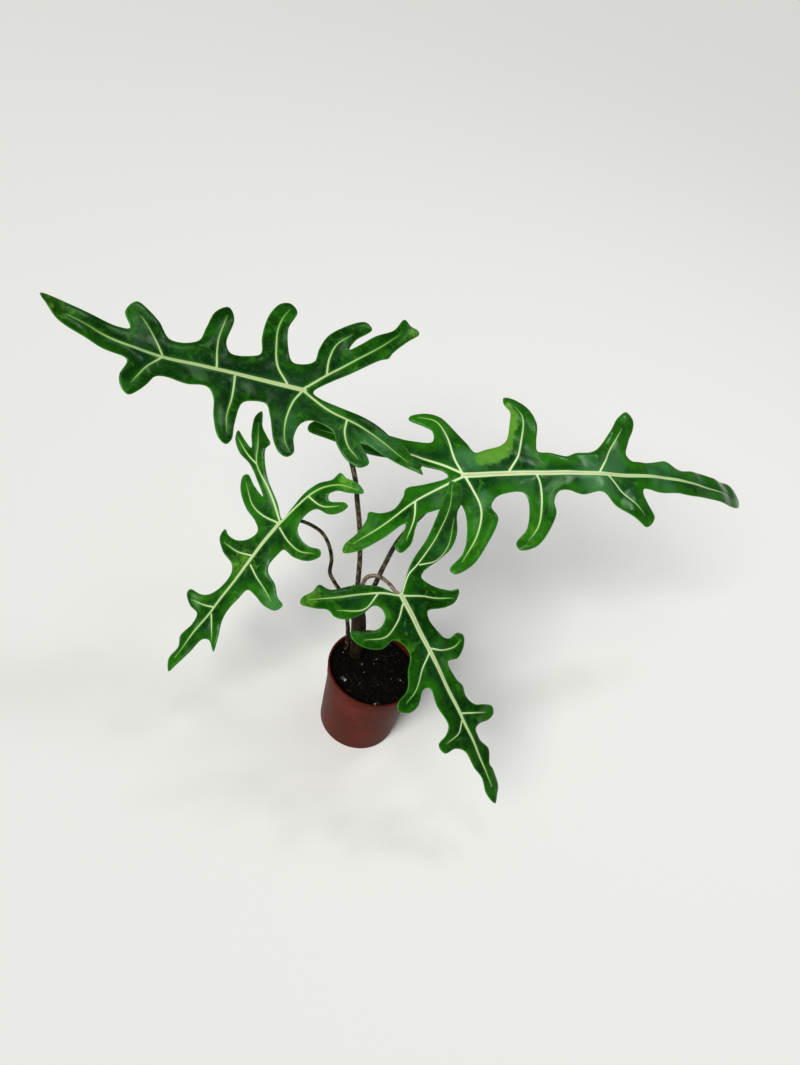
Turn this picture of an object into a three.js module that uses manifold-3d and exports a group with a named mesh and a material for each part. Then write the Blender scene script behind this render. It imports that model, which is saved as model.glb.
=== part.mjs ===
import * as THREE from 'three';
import Module from 'manifold-3d';
import { mergeVertices } from 'three/addons/utils/BufferGeometryUtils.js';

// A potted alocasia with four deeply lobed leaves, in a small terracotta-coloured plastic pot.
// Millimetres, +Z up. The origin is the middle of the pot's underside; the front of the plant is -Y.

const wasm = await Module();
wasm.setup();

const GAP = 0.3;

const POT = {
  height: 88,
  rimRadius: 45,
  baseRadius: 38.5,
  shoulderRadius: 42.6,
  collarHeight: 12,
  collarRadius: 43.8,
  ledge: 2,
  round: 0.6,
  wall: 1.2,
  floor: 1.8,
  lipHeight: 1.8,
  drainHoles: 8,
  drainRadius: 3.2,
  drainCircle: 27,
  sides: 48,
};

const SOIL = { level: 82, dome: 2.5, bump: 0.9, rings: 6 };

const STEM = {
  path: [[-20.5, 12.3, 59], [-20.5, 12.3, 74], [-20.8, 12.4, 88], [-24, 12.8, 110], [-29, 13, 136], [-31, 13, 146]],
  radii: [6.2, 6.5, 6.5, 6.2, 6.5, 6.9],
  sides: 16,
  mouthRadius: 5.9,
  mouthDepth: 9,
  straight: 3,
};

const PETIOLE_SIDES = 8;
const PETIOLE_STEP = 11;

// A petiole with a seat stands in the stem's mouth, that far right of and behind its middle; the other
// one stands in the soil. Each ends against the underside of its blade.
const PETIOLES = {
  a: {
    seat: [-2.6, 1.6],
    path: [[-37.5, 20, 166], [-43, 30, 192], [-50, 41, 214], [-60.5, 52, 240], [-68.5, 59, 260], [-79, 66, 276],
      [-97, 67, 298], [-113, 62, 316], [-125, 55, 335]],
    radii: [2.4, 2.3, 2.1],
  },
  b: {
    seat: [2.7, 1.5],
    path: [[-24.5, 23, 164], [-20.5, 40, 186], [-16, 54, 204], [-6, 67, 224], [3, 76, 240], [12, 80, 257],
      [21.6, 73.9, 287.9]],
    radii: [2.4, 2.3, 2.1],
  },
  c: {
    path: [[-31.5, 15, 66], [-31.5, 15, 84], [-33.5, 17, 100], [-38.5, 21, 118], [-46, 26, 135], [-53, 27, 148],
      [-60, 26, 158], [-66.5, 27, 168], [-68.5, 33, 179], [-74.5, 37, 192], [-83, 38, 203], [-93, 35, 211],
      [-103, 31, 216], [-112, 26.5, 217], [-119, 22, 215]],
    radii: [2.2, 1.6],
  },
  d: {
    seat: [0.2, -3.0],
    path: [[-33, 10, 168], [-33.5, 9, 184], [-32.5, 5, 198], [-28.5, 2, 207], [-22, 2, 209.5], [-11, 1, 205.5],
      [-4, -3, 203], [2.5, -5.8, 205]],
    radii: [2.3, 1.6],
  },
};

const BLADE = {
  halfThickness: 0.45,
  keel: 0.5,
  sideKeel: 0.25,
  ribStep: 8,
  fillStep: 11,
  edgeClearance: 3.4,
  ribClearance: 4.6,
  edgeDeviation: 0.35,
  ruffle: 1.1,
  ruffleLength: 41,
};

// Leaf patterns. x runs from the petiole joint towards the tip and y to the left of it, in millimetres
// of the pattern; "size" is the real length of one of them. "arch" bows the blade up between joint and
// tip, "cup" drops it away from the midrib, and a "lift" bends one lobe out of the blade's own plane.
const LEAVES = {
  a: {
    joint: [-125, 55, 335],
    tip: [-304, -15, 395],
    roll: -28,
    arch: -18,
    cup: 0.0002,
    size: 1,
    outline: [
      [202, 0], [196, 5], [188, 11], [179, 14], [158, 17], [135, 18], [137, 31], [134, 40], [128, 44], [122, 39],
      [117, 32], [112, 23], [104, 19], [88, 20], [73, 17], [67, 24], [64, 41], [58, 56], [51, 60], [47, 55], [47, 40],
      [45, 23], [38, 19], [27, 18], [22, 29], [17, 48], [11, 58], [5, 60], [0, 55], [2, 41], [-1, 30],
      [-9, 25], [-26, 31], [-31, 42], [-40, 53], [-50, 58], [-56, 54], [-53, 46], [-47, 36], [-63, 43], [-80, 49],
      [-92, 53], [-98, 55], [-96, 49], [-99, 46], [-91, 44], [-83, 34], [-70, 26], [-60, 19], [-37, 11], [-12, 4],
      [-7, 0], [-20, -13], [-40, -29], [-55, -41], [-61, -44], [-64, -50], [-75, -64], [-84, -74], [-83, -77], [-76, -80],
      [-71, -86], [-63, -73], [-50, -65], [-39, -54], [-30, -46], [-34, -56], [-46, -70], [-40, -75], [-27, -69],
      [-12, -55], [-6, -40], [-4, -28], [3, -24], [12, -24], [17, -35], [20, -53], [15, -71], [21, -79], [28, -77],
      [36, -63], [39, -40], [38, -24], [44, -20], [60, -18], [65, -25], [63, -48], [69, -59], [78, -51], [83, -33],
      [87, -19], [107, -12], [119, -23], [137, -32], [144, -20], [138, -8], [146, -5], [165, -4], [191, -3],
    ],
    midrib: [[0, 0], [25, -1], [50, -1], [80, 1], [111, 5], [145, 7], [182, 5]],
    ribs: [
      [[2, 2], [7, 12], [10, 30], [8, 46], [4, 54]], [[54, 2], [53, 20], [54, 37], [52, 50]],
      [[111, 6], [120, 18], [128, 34]], [[0, 1], [-18, 12], [-35, 19], [-60, 30], [-86, 46]],
      [[-35, 20], [-35, 30], [-39, 41], [-48, 51]], [[0, -2], [-15, -17], [-35, -36], [-50, -50], [-67, -68]],
      [[-15, -18], [-15, -33], [-19, -47], [-30, -60]], [[14, -3], [23, -17], [28, -45], [26, -60], [21, -72]],
      [[69, -2], [72, -25], [69, -49]], [[111, 3], [120, -9], [132, -21]],
    ],
  },
  b: {
    joint: [21.6, 73.9, 287.9],
    tip: [313.5, 226.6, 240.6],
    roll: 21,
    arch: 35.5,
    cup: 0.0003,
    size: 1.076,
    outline: [
      [313, 2], [317, 9], [309, 17], [296, 20], [276, 19], [260, 18], [246, 19], [229, 17], [215, 15], [204, 16], [191, 19],
      [178, 17], [160, 14], [150, 14], [146, 20], [153, 33], [162, 47], [165, 59], [160, 65], [150, 59], [136, 43],
      [122, 27], [110, 19], [96, 18], [85, 14], [71, 17], [62, 19], [62, 28], [66, 47], [62, 62], [51, 70],
      [42, 71], [41, 65], [45, 57], [44, 49], [39, 32], [32, 25], [20, 22], [11, 20], [6, 30], [-2, 44],
      [-11, 56], [-22, 60], [-34, 59], [-35, 56], [-25, 48], [-19, 42], [-20, 33], [-34, 36], [-51, 42], [-80, 54],
      [-100, 61], [-110, 60], [-112, 54], [-99, 44], [-75, 30], [-50, 20], [-28, 11], [-15, 5], [-12, 0], [-30, -5],
      [-44, -7], [-47, -14], [-55, -24], [-64, -26], [-73, -25], [-75, -31], [-83, -42], [-93, -51], [-94, -57],
      [-82, -56], [-64, -47], [-48, -38], [-51, -47], [-57, -56], [-53, -61], [-45, -55], [-40, -41], [-35, -32],
      [-20, -27], [-7, -24], [-4, -30], [-3, -46], [-8, -65], [-19, -78], [-16, -82], [-4, -77], [9, -61], [20, -40],
      [17, -29], [24, -20], [44, -19], [47, -26], [42, -49], [32, -61], [34, -67], [45, -66], [56, -56], [67, -38],
      [67, -27], [73, -18], [82, -17], [95, -20], [112, -18], [125, -30], [144, -44], [152, -47], [163, -36],
      [155, -18], [157, -12], [180, -13], [204, -10], [229, -9], [256, -6], [287, -5], [303, -3],
    ],
    midrib: [[0, 0], [40, -1], [100, -1], [130, -1], [176, 2], [220, 4], [290, 6]],
    ribs: [
      [[-1, 2], [-5, 14], [-9, 38], [-15, 51], [-28, 57]], [[35, 1], [45, 16], [53, 40], [54, 53], [50, 62]],
      [[114, 1], [125, 16], [138, 33], [150, 47]], [[1, -2], [5, -14], [9, -32], [4, -51], [-10, -73]],
      [[57, -3], [59, -12], [56, -32], [50, -49], [41, -60]], [[122, -3], [131, -14], [150, -37]],
      [[0, 1], [-20, 14], [-45, 26], [-93, 47], [-106, 54]], [[0, -1], [-14, -7], [-38, -19], [-61, -35], [-86, -50]],
      [[-39, -20], [-41, -34], [-48, -51]],
    ],
  },
  c: {
    joint: [-119, 22, 215],
    tip: [-178, -71, 82],
    roll: -6,
    arch: -4,
    cup: 0.0002,
    size: 1,
    outline: [
      [173, 0], [163, 2], [148, 4], [130, 6], [126, 12], [131, 22], [121, 19], [107, 11], [97, 9], [80, 10],
      [67, 12], [66, 21], [67, 33], [63, 45], [55, 47], [53, 38], [46, 29], [42, 19], [36, 14], [23, 15],
      [17, 17], [16, 28], [10, 41], [-1, 48], [-5, 45], [-1, 35], [-1, 26], [-5, 18], [-14, 15], [-26, 17],
      [-31, 21], [-34, 32], [-42, 40], [-51, 43], [-52, 39], [-44, 26], [-48, 22], [-55, 26], [-61, 37], [-69, 47],
      [-72, 38], [-69, 26], [-69, 19], [-60, 16], [-50, 8], [-37, 3], [-15, 0], [-3, -1], [-11, -14], [-24, -37],
      [-41, -54], [-48, -53], [-51, -60], [-55, -70], [-65, -79], [-58, -82], [-45, -75], [-34, -66], [-36, -78],
      [-38, -87], [-30, -86], [-23, -75], [-21, -57], [-14, -40], [-7, -29], [-9, -41], [-13, -54], [-8, -58],
      [2, -53], [12, -37], [15, -22], [20, -14], [32, -17], [40, -26], [42, -36], [40, -42], [49, -42], [57, -31],
      [60, -17], [66, -12], [83, -11], [95, -16], [101, -23], [104, -34], [109, -34], [115, -24], [116, -14],
      [126, -11], [143, -14], [151, -9], [165, -8],
    ],
    midrib: [[0, -1], [25, -3], [75, -4], [104, -4], [135, -5], [160, -4]],
    ribs: [
      [[4, 2], [8, 16], [8, 30], [1, 42]], [[48, 0], [52, 13], [60, 37]], [[107, -2], [124, 14]],
      [[-1, 0], [-19, 3], [-47, 12], [-60, 24], [-68, 42]], [[-35, 8], [-36, 23], [-47, 37]],
      [[-1, -3], [-16, -29], [-27, -53], [-41, -63], [-55, -75]], [[-26, -52], [-27, -65], [-33, -84]],
      [[2, -3], [6, -18], [5, -34], [-6, -51]], [[41, -5], [47, -18], [50, -35]], [[101, -5], [106, -14], [110, -26]],
    ],
  },
  d: {
    joint: [2.5, -5.8, 205],
    tip: [141.8, -90.9, 71],
    roll: 3,
    arch: 8.7,
    cup: 0.0002,
    size: 0.971,
    lift: { along: [-0.45, 0.89], from: 12, over: 116, power: 1.25, by: [-4, -72, 60] },
    outline: [
      [217, 0], [211, 5], [204, 10], [187, 11], [180, 9], [167, 14], [153, 9], [142, 9], [141, 15], [144, 27],
      [142, 35], [136, 37], [128, 28], [121, 17], [110, 13], [101, 15], [92, 11], [74, 11], [76, 22], [70, 34],
      [62, 39], [57, 35], [57, 24], [50, 17], [32, 13], [25, 16], [31, 35], [32, 47], [27, 56], [22, 59],
      [19, 49], [5, 33], [-4, 28], [-8, 34], [-10, 58], [-14, 78], [-24, 93], [-38, 103], [-46, 115], [-58, 121],
      [-65, 113], [-60, 105], [-47, 83], [-33, 58], [-18, 23], [-3, 2], [-2, -2], [-18, -18], [-28, -36],
      [-36, -60], [-44, -67], [-42, -76], [-42, -87], [-38, -91], [-29, -82], [-22, -72], [-14, -69], [-7, -60],
      [-4, -45], [-5, -31], [0, -26], [9, -27], [14, -36], [10, -50], [3, -62], [8, -65], [20, -60], [30, -45], [29, -31],
      [37, -24], [50, -23], [60, -32], [73, -43], [77, -54], [83, -57], [91, -48], [91, -37], [81, -27], [83, -20],
      [100, -20], [121, -18], [128, -25], [131, -35], [142, -32], [145, -20], [153, -12], [172, -9], [186, -5],
      [202, -6],
    ],
    midrib: [[0, -1], [50, -2], [100, -2], [127, -1], [160, 1], [200, 2]],
    ribs: [
      [[2, 2], [10, 17], [20, 33], [27, 48]], [[55, 1], [62, 11], [66, 25], [64, 34]], [[121, 1], [136, 27]],
      [[-1, 1], [-12, 17], [-16, 31], [-30, 67], [-46, 97], [-62, 113]], [[-15, 33], [-11, 54], [-17, 75], [-36, 97]],
      [[-1, -3], [-12, -20], [-28, -60], [-38, -84]], [[-12, -21], [-7, -42], [-18, -65]],
      [[8, -5], [18, -18], [23, -36], [15, -56]], [[57, -4], [66, -19], [78, -36], [82, -47]],
      [[127, -3], [134, -11], [135, -27]],
    ],
  },
};

const COLOURS = {
  blade: new THREE.MeshStandardMaterial({ color: 0x2a6b24, roughness: 0.42 }),
  stalk: new THREE.MeshStandardMaterial({ color: 0x3f3026, roughness: 0.6 }),
  pot: new THREE.MeshStandardMaterial({ color: 0x7a3d2e, roughness: 0.5 }),
  soil: new THREE.MeshStandardMaterial({ color: 0x1d1712, roughness: 0.95 }),
};

// Solids and booleans

function toSolid(geometry) {
  const bare = geometry.index ? geometry.clone() : geometry;
  bare.deleteAttribute('normal');
  bare.deleteAttribute('uv');
  const merged = mergeVertices(bare, 1e-4);
  return new wasm.Manifold(new wasm.Mesh({
    numProp: 3,
    vertProperties: new Float32Array(merged.attributes.position.array),
    triVerts: new Uint32Array(merged.index.array),
  }));
}

function toGeometry(solid) {
  const mesh = solid.getMesh();
  const geometry = new THREE.BufferGeometry();
  geometry.setAttribute('position', new THREE.BufferAttribute(new Float32Array(mesh.vertProperties), 3));
  geometry.setIndex(new THREE.BufferAttribute(new Uint32Array(mesh.triVerts), 1));
  return geometry;
}

function named(name, geometry, material) {
  const mesh = new THREE.Mesh(geometry, material);
  mesh.name = name;
  return mesh;
}

function indexed(vertices, triangles) {
  const geometry = new THREE.BufferGeometry();
  const positions = vertices.flatMap((p) => [p.x, p.y, p.z]);
  geometry.setAttribute('position', new THREE.Float32BufferAttribute(positions, 3));
  geometry.setIndex(triangles.flat());
  return geometry;
}

// A tapering round rod along a smooth path. The radii are spread evenly from its start to its end.
function rod(path, radii, sides, step) {
  const curve = new THREE.CatmullRomCurve3(path.map((p) => new THREE.Vector3(...p)), false, 'centripetal');
  const rings = Math.ceil(curve.getLength() / step);
  const frames = curve.computeFrenetFrames(rings, false);
  const vertices = [];
  const triangles = [];
  for (let i = 0; i <= rings; i++) {
    const place = (i / rings) * (radii.length - 1);
    const low = Math.min(Math.floor(place), radii.length - 2);
    const radius = THREE.MathUtils.lerp(radii[low], radii[low + 1], place - low);
    const centre = curve.getPointAt(i / rings);
    for (let k = 0; k < sides; k++) {
      const turn = (k / sides) * 2 * Math.PI;
      vertices.push(centre.clone()
        .addScaledVector(frames.normals[i], radius * Math.cos(turn))
        .addScaledVector(frames.binormals[i], radius * Math.sin(turn)));
    }
  }
  const ring = (i, k) => i * sides + (k % sides);
  for (let i = 0; i < rings; i++) {
    for (let k = 0; k < sides; k++) {
      triangles.push([ring(i, k), ring(i, k + 1), ring(i + 1, k + 1)]);
      triangles.push([ring(i, k), ring(i + 1, k + 1), ring(i + 1, k)]);
    }
  }
  for (let k = 1; k < sides - 1; k++) {
    triangles.push([ring(0, 0), ring(0, k + 1), ring(0, k)]);
    triangles.push([ring(rings, 0), ring(rings, k), ring(rings, k + 1)]);
  }
  return toSolid(indexed(vertices, triangles));
}

function lathe(profile, sides) {
  const geometry = new THREE.LatheGeometry(profile.map(([r, z]) => new THREE.Vector2(r, z)), sides);
  return geometry.rotateX(Math.PI / 2);
}

function post(x, y, radius, bottom, top, sides) {
  const geometry = new THREE.CylinderGeometry(radius, radius, top - bottom, sides).rotateX(Math.PI / 2);
  return toSolid(geometry.translate(x, y, (top + bottom) / 2));
}

// Pot and soil

function bodyRadius(z) {
  const collarFoot = POT.height - POT.collarHeight;
  return THREE.MathUtils.lerp(POT.baseRadius, POT.shoulderRadius, Math.min(z / collarFoot, 1));
}

function pot() {
  const collarFoot = POT.height - POT.collarHeight;
  const lipFoot = POT.height - POT.lipHeight;
  const ledge = collarFoot - POT.round;
  const inside = POT.shoulderRadius;
  const profile = [
    [0, 0], [POT.baseRadius - POT.round, 0], [POT.baseRadius, POT.round],
    [bodyRadius(collarFoot), collarFoot - POT.round], [POT.collarRadius, collarFoot],
    [POT.collarRadius, lipFoot - POT.round], [POT.rimRadius, lipFoot],
    [POT.rimRadius, POT.height - POT.round], [POT.rimRadius - POT.round, POT.height],
    [inside + POT.round, POT.height], [inside, POT.height - POT.round], [inside, ledge + POT.ledge],
    [inside - POT.wall, ledge], [bodyRadius(POT.floor) - POT.wall, POT.floor], [0, POT.floor],
  ];
  let solid = toSolid(lathe(profile, POT.sides));
  for (let i = 0; i < POT.drainHoles; i++) {
    const turn = (i / POT.drainHoles) * 2 * Math.PI;
    const x = POT.drainCircle * Math.cos(turn);
    const y = POT.drainCircle * Math.sin(turn);
    solid = solid.subtract(post(x, y, POT.drainRadius, -2, POT.floor + 2, 12));
  }
  return named('pot', toGeometry(solid), COLOURS.pot);
}

// The soil fills the pot with a low dome and soft lumps on top, and has a plain hole for each stalk.
function soil() {
  const ledge = POT.height - POT.collarHeight - POT.round;
  const edge = POT.shoulderRadius - GAP;
  const bottom = POT.floor + GAP;
  const profile = [
    [0, bottom], [bodyRadius(bottom) - POT.wall - GAP, bottom],
    [edge - POT.wall, ledge + GAP / 2], [edge, ledge + POT.ledge + GAP / 2], [edge, SOIL.level - 1],
  ];
  for (let i = 1; i <= SOIL.rings; i++) {
    const r = edge * (1 - i / SOIL.rings);
    profile.push([Math.max(r, 0), SOIL.level + SOIL.dome * (1 - (r / edge) ** 2)]);
  }
  const geometry = lathe(profile, POT.sides);
  const position = geometry.attributes.position;
  for (let i = 0; i < position.count; i++) {
    const x = position.getX(i);
    const y = position.getY(i);
    if (position.getZ(i) > SOIL.level - 0.5) {
      const lump = SOIL.bump * Math.sin(x / 4.3 + 0.7) * Math.sin(y / 5.1 + 1.9);
      position.setZ(i, position.getZ(i) + lump);
    }
  }
  let solid = toSolid(geometry);
  const feet = [[STEM.path[0], STEM.radii[1], STEM.sides], [PETIOLES.c.path[0], PETIOLES.c.radii[0], PETIOLE_SIDES]];
  for (const [[x, y, z], radius, sides] of feet) {
    solid = solid.subtract(post(x, y, radius + 2 * GAP, z - GAP, POT.height + 10, sides));
  }
  return named('soil', toGeometry(solid), COLOURS.soil);
}

// A point by the stem's mouth: to the right of its middle, behind it, and above its rim.
function atMouth(right, back, above) {
  const [foot, top] = STEM.path.slice(-2).map((p) => new THREE.Vector3(...p));
  const way = top.clone().sub(foot).normalize();
  const behind = new THREE.Vector3(0, 1, 0);
  const beside = behind.clone().cross(way);
  return top.addScaledVector(beside, right).addScaledVector(behind, back).addScaledVector(way, above).toArray();
}

// The stem is a short trunk of old leaf sheaths; its top is open, and the petioles stand in it.
function stem() {
  const outer = rod(STEM.path, STEM.radii, STEM.sides, 9);
  const mouth = rod([atMouth(0, 0, -STEM.mouthDepth), atMouth(0, 0, 6)],
    [STEM.mouthRadius, STEM.mouthRadius], STEM.sides, 20);
  return named('stem', toGeometry(outer.subtract(mouth)), COLOURS.stalk);
}

// Blades

function bladeFrame(leaf) {
  const joint = new THREE.Vector3(...leaf.joint);
  const along = new THREE.Vector3(...leaf.tip).sub(joint);
  const length = along.length();
  along.normalize();
  const left = new THREE.Vector3(0, 0, 1).cross(along).normalize();
  const up = along.clone().cross(left);
  const roll = THREE.MathUtils.degToRad(leaf.roll);
  left.applyAxisAngle(along, roll);
  up.applyAxisAngle(along, roll);
  return { joint, along, left, up, length };
}

// The middle of the blade above the pattern point (px, py).
function bladePoint(leaf, frame, px, py) {
  const x = px * leaf.size;
  const y = py * leaf.size;
  const s = x / frame.length;
  const bow = 4 * leaf.arch * (s > 0 ? s * (1 - s) : s);
  const out = THREE.MathUtils.smoothstep(Math.hypot(x, y), 14, 45) * THREE.MathUtils.smoothstep(Math.abs(y), 2, 18);
  const wave = BLADE.ruffle * out * Math.sin((2 * Math.PI * (x + 0.6 * Math.abs(y))) / BLADE.ruffleLength);
  const point = frame.joint.clone()
    .addScaledVector(frame.along, x)
    .addScaledVector(frame.left, y)
    .addScaledVector(frame.up, bow - leaf.cup * y * y + wave);
  if (leaf.lift) {
    const { along, from, over, power, by } = leaf.lift;
    const reach = Math.max(0, px * along[0] + py * along[1] - from) / over;
    point.addScaledVector(new THREE.Vector3(...by), reach ** power);
  }
  return point;
}

function bladeNormal(leaf, frame, x, y) {
  const forward = bladePoint(leaf, frame, x + 1, y).sub(bladePoint(leaf, frame, x - 1, y));
  const sideways = bladePoint(leaf, frame, x, y + 1).sub(bladePoint(leaf, frame, x, y - 1));
  return forward.cross(sideways).normalize();
}

// The closed smooth curve through the outline's points, with a step added only where it bends.
function smoothOutline(points) {
  const curve = new THREE.CatmullRomCurve3(points.map(([x, y]) => new THREE.Vector3(x, y, 0)), true, 'centripetal');
  const outline = [];
  points.forEach(([x, y], i) => {
    outline.push([x, y]);
    const [nx, ny] = points[(i + 1) % points.length];
    const middle = curve.getPoint((i + 0.5) / points.length);
    const bulge = Math.hypot(middle.x - (x + nx) / 2, middle.y - (y + ny) / 2);
    if (bulge > BLADE.edgeDeviation || Math.hypot(nx - x, ny - y) > 1.3 * BLADE.fillStep) {
      outline.push([middle.x, middle.y]);
    }
  });
  return outline;
}

function alongLine(line, step) {
  const curve = new THREE.CatmullRomCurve3(line.map(([x, y]) => new THREE.Vector3(x, y, 0)), false, 'centripetal');
  const count = Math.max(1, Math.round(curve.getLength() / step));
  return curve.getSpacedPoints(count).map((p) => [p.x, p.y]);
}

function distanceToLine([x, y], line, closed) {
  let best = Infinity;
  const last = closed ? line.length : line.length - 1;
  for (let i = 0; i < last; i++) {
    const [ax, ay] = line[i];
    const [bx, by] = line[(i + 1) % line.length];
    const ex = bx - ax;
    const ey = by - ay;
    const t = THREE.MathUtils.clamp(((x - ax) * ex + (y - ay) * ey) / (ex * ex + ey * ey), 0, 1);
    best = Math.min(best, Math.hypot(x - ax - t * ex, y - ay - t * ey));
  }
  return best;
}

function isInside([x, y], outline) {
  let inside = false;
  outline.forEach(([ax, ay], i) => {
    const [bx, by] = outline[(i + 1) % outline.length];
    if ((ay > y) !== (by > y) && x < ((bx - ax) * (y - ay)) / (by - ay) + ax) {
      inside = !inside;
    }
  });
  return inside;
}

// Delaunay triangles of a set of points, by adding the points one at a time.
function delaunay(points) {
  const far = 4000;
  const all = [...points, [-far, -far], [far, -far], [0, far]];
  const n = points.length;
  const circled = (a, b, c) => {
    const [[ax, ay], [bx, by], [cx, cy]] = [all[a], all[b], all[c]];
    const d = 2 * (ax * (by - cy) + bx * (cy - ay) + cx * (ay - by));
    const [a2, b2, c2] = [ax * ax + ay * ay, bx * bx + by * by, cx * cx + cy * cy];
    const x = (a2 * (by - cy) + b2 * (cy - ay) + c2 * (ay - by)) / d;
    const y = (a2 * (cx - bx) + b2 * (ax - cx) + c2 * (bx - ax)) / d;
    return { corners: [a, b, c], x, y, r2: (ax - x) ** 2 + (ay - y) ** 2 };
  };
  let triangles = [circled(n, n + 1, n + 2)];
  for (let i = 0; i < n; i++) {
    const [x, y] = points[i];
    const hole = new Map();
    const kept = [];
    for (const triangle of triangles) {
      if ((x - triangle.x) ** 2 + (y - triangle.y) ** 2 > triangle.r2) {
        kept.push(triangle);
        continue;
      }
      const [a, b, c] = triangle.corners;
      for (const [p, q] of [[a, b], [b, c], [c, a]]) {
        if (!hole.delete(`${q},${p}`)) {
          hole.set(`${p},${q}`, [p, q]);
        }
      }
    }
    triangles = kept.concat([...hole.values()].map(([p, q]) => circled(p, q, i)));
  }
  return triangles.map((t) => t.corners).filter((corners) => Math.max(...corners) < n);
}

// Splits the outline's inside into triangles, halving any edge of it that they would cross.
function fillOutline(outline, inner) {
  for (;;) {
    const points = [...outline, ...inner];
    const triangles = delaunay(points).filter(([a, b, c]) => {
      const x = (points[a][0] + points[b][0] + points[c][0]) / 3;
      const y = (points[a][1] + points[b][1] + points[c][1]) / 3;
      return isInside([x, y], outline);
    });
    const edges = new Set(triangles.flatMap(([a, b, c]) => [`${a},${b}`, `${b},${c}`, `${c},${a}`]));
    const whole = outline.map((_, i) => edges.has(`${i},${(i + 1) % outline.length}`));
    if (whole.every(Boolean)) {
      return { points, triangles };
    }
    outline = outline.flatMap((point, i) => {
      const next = outline[(i + 1) % outline.length];
      return whole[i] ? [point] : [point, [(point[0] + next[0]) / 2, (point[1] + next[1]) / 2]];
    });
  }
}

// Ribs, a row on each side of the midrib, and an even spread of points over the rest of the blade.
function innerPoints(leaf, outline) {
  const lines = [leaf.midrib, ...leaf.ribs].map((line) => alongLine(line, BLADE.ribStep));
  const points = [];
  const add = (point, extra, clearOf) => {
    const clear = clearOf.every(([x, y]) => Math.hypot(point[0] - x, point[1] - y) > BLADE.edgeClearance);
    if (clear && isInside(point, outline) && distanceToLine(point, outline, true) > BLADE.edgeClearance) {
      points.push([...point, extra]);
    }
  };
  lines.forEach((line, number) => {
    line.forEach((point, i) => {
      const width = ribWidth(leaf, number, i / (line.length - 1));
      const fade = THREE.MathUtils.smoothstep(Math.hypot(...point), 7, 14);
      add(point, fade * width * (number === 0 ? BLADE.keel : BLADE.sideKeel), points);
    });
  });
  const flank = lines[0].flatMap(([x, y]) => [[x, y + 3.8], [x, y - 3.8]]);
  flank.forEach((point) => add(point, 0, points));
  const xs = outline.map(([x]) => x);
  const ys = outline.map(([, y]) => y);
  const rowStep = (BLADE.fillStep * Math.sqrt(3)) / 2;
  for (let row = 0; Math.min(...ys) + row * rowStep < Math.max(...ys); row++) {
    const y = Math.min(...ys) + row * rowStep;
    const shift = row % 2 ? BLADE.fillStep / 2 : 0.013;
    for (let x = Math.min(...xs) + shift; x < Math.max(...xs); x += BLADE.fillStep) {
      if (lines.every((line) => distanceToLine([x, y], line, false) > BLADE.ribClearance)) {
        add([x, y], 0, points);
      }
    }
  }
  return points;
}

function ribWidth(leaf, number, t) {
  const base = number === 0 ? 4 : 2.6;
  return (base * (1 - 0.8 * t)) / leaf.size;
}

function blade(letter) {
  const leaf = LEAVES[letter];
  const frame = bladeFrame(leaf);
  const outline = smoothOutline(leaf.outline);
  const { points, triangles } = fillOutline(outline, innerPoints(leaf, outline));
  const top = [];
  const bottom = [];
  for (const [x, y, keel = 0] of points) {
    const middle = bladePoint(leaf, frame, x, y);
    const normal = bladeNormal(leaf, frame, x, y);
    top.push(middle.clone().addScaledVector(normal, BLADE.halfThickness));
    bottom.push(middle.clone().addScaledVector(normal, -BLADE.halfThickness - keel));
  }
  const count = points.length;
  const edge = points.findIndex((point) => point.length > 2);
  const faces = [];
  for (const [a, b, c] of triangles) {
    faces.push([a, b, c], [count + a, count + c, count + b]);
  }
  for (let i = 0; i < edge; i++) {
    const j = (i + 1) % edge;
    faces.push([i, count + i, count + j], [i, count + j, j]);
  }
  return named(`blade_${letter}`, indexed([...top, ...bottom], faces), COLOURS.blade);
}

// A petiole runs up to the joint and is cut off flush, a gap below the blade's underside.
function petiole(letter) {
  const { seat, path, radii } = PETIOLES[letter];
  const inMouth = seat ? [GAP - STEM.mouthDepth, -STEM.straight, STEM.straight].map((above) => atMouth(...seat, above)) : [];
  const leaf = LEAVES[letter];
  const frame = bladeFrame(leaf);
  const normal = bladeNormal(leaf, frame, 0, 0);
  const cube = 12;
  const box = new THREE.BoxGeometry(cube, cube, cube);
  box.applyQuaternion(new THREE.Quaternion().setFromUnitVectors(new THREE.Vector3(0, 0, 1), normal));
  const centre = frame.joint.clone().addScaledVector(normal, cube / 2 - BLADE.halfThickness - GAP);
  box.translate(centre.x, centre.y, centre.z);
  const solid = rod([...inMouth, ...path], radii, PETIOLE_SIDES, PETIOLE_STEP).subtract(toSolid(box));
  return named(`petiole_${letter}`, toGeometry(solid), COLOURS.stalk);
}

const plant = new THREE.Group();
plant.add(pot(), soil(), stem());
for (const letter of Object.keys(LEAVES)) {
  plant.add(petiole(letter), blade(letter));
}

export default plant;
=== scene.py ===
import math
import random

import bpy
import numpy as np
from mathutils import Matrix, Vector, noise
from mathutils.geometry import delaunay_2d_cdt


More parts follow.
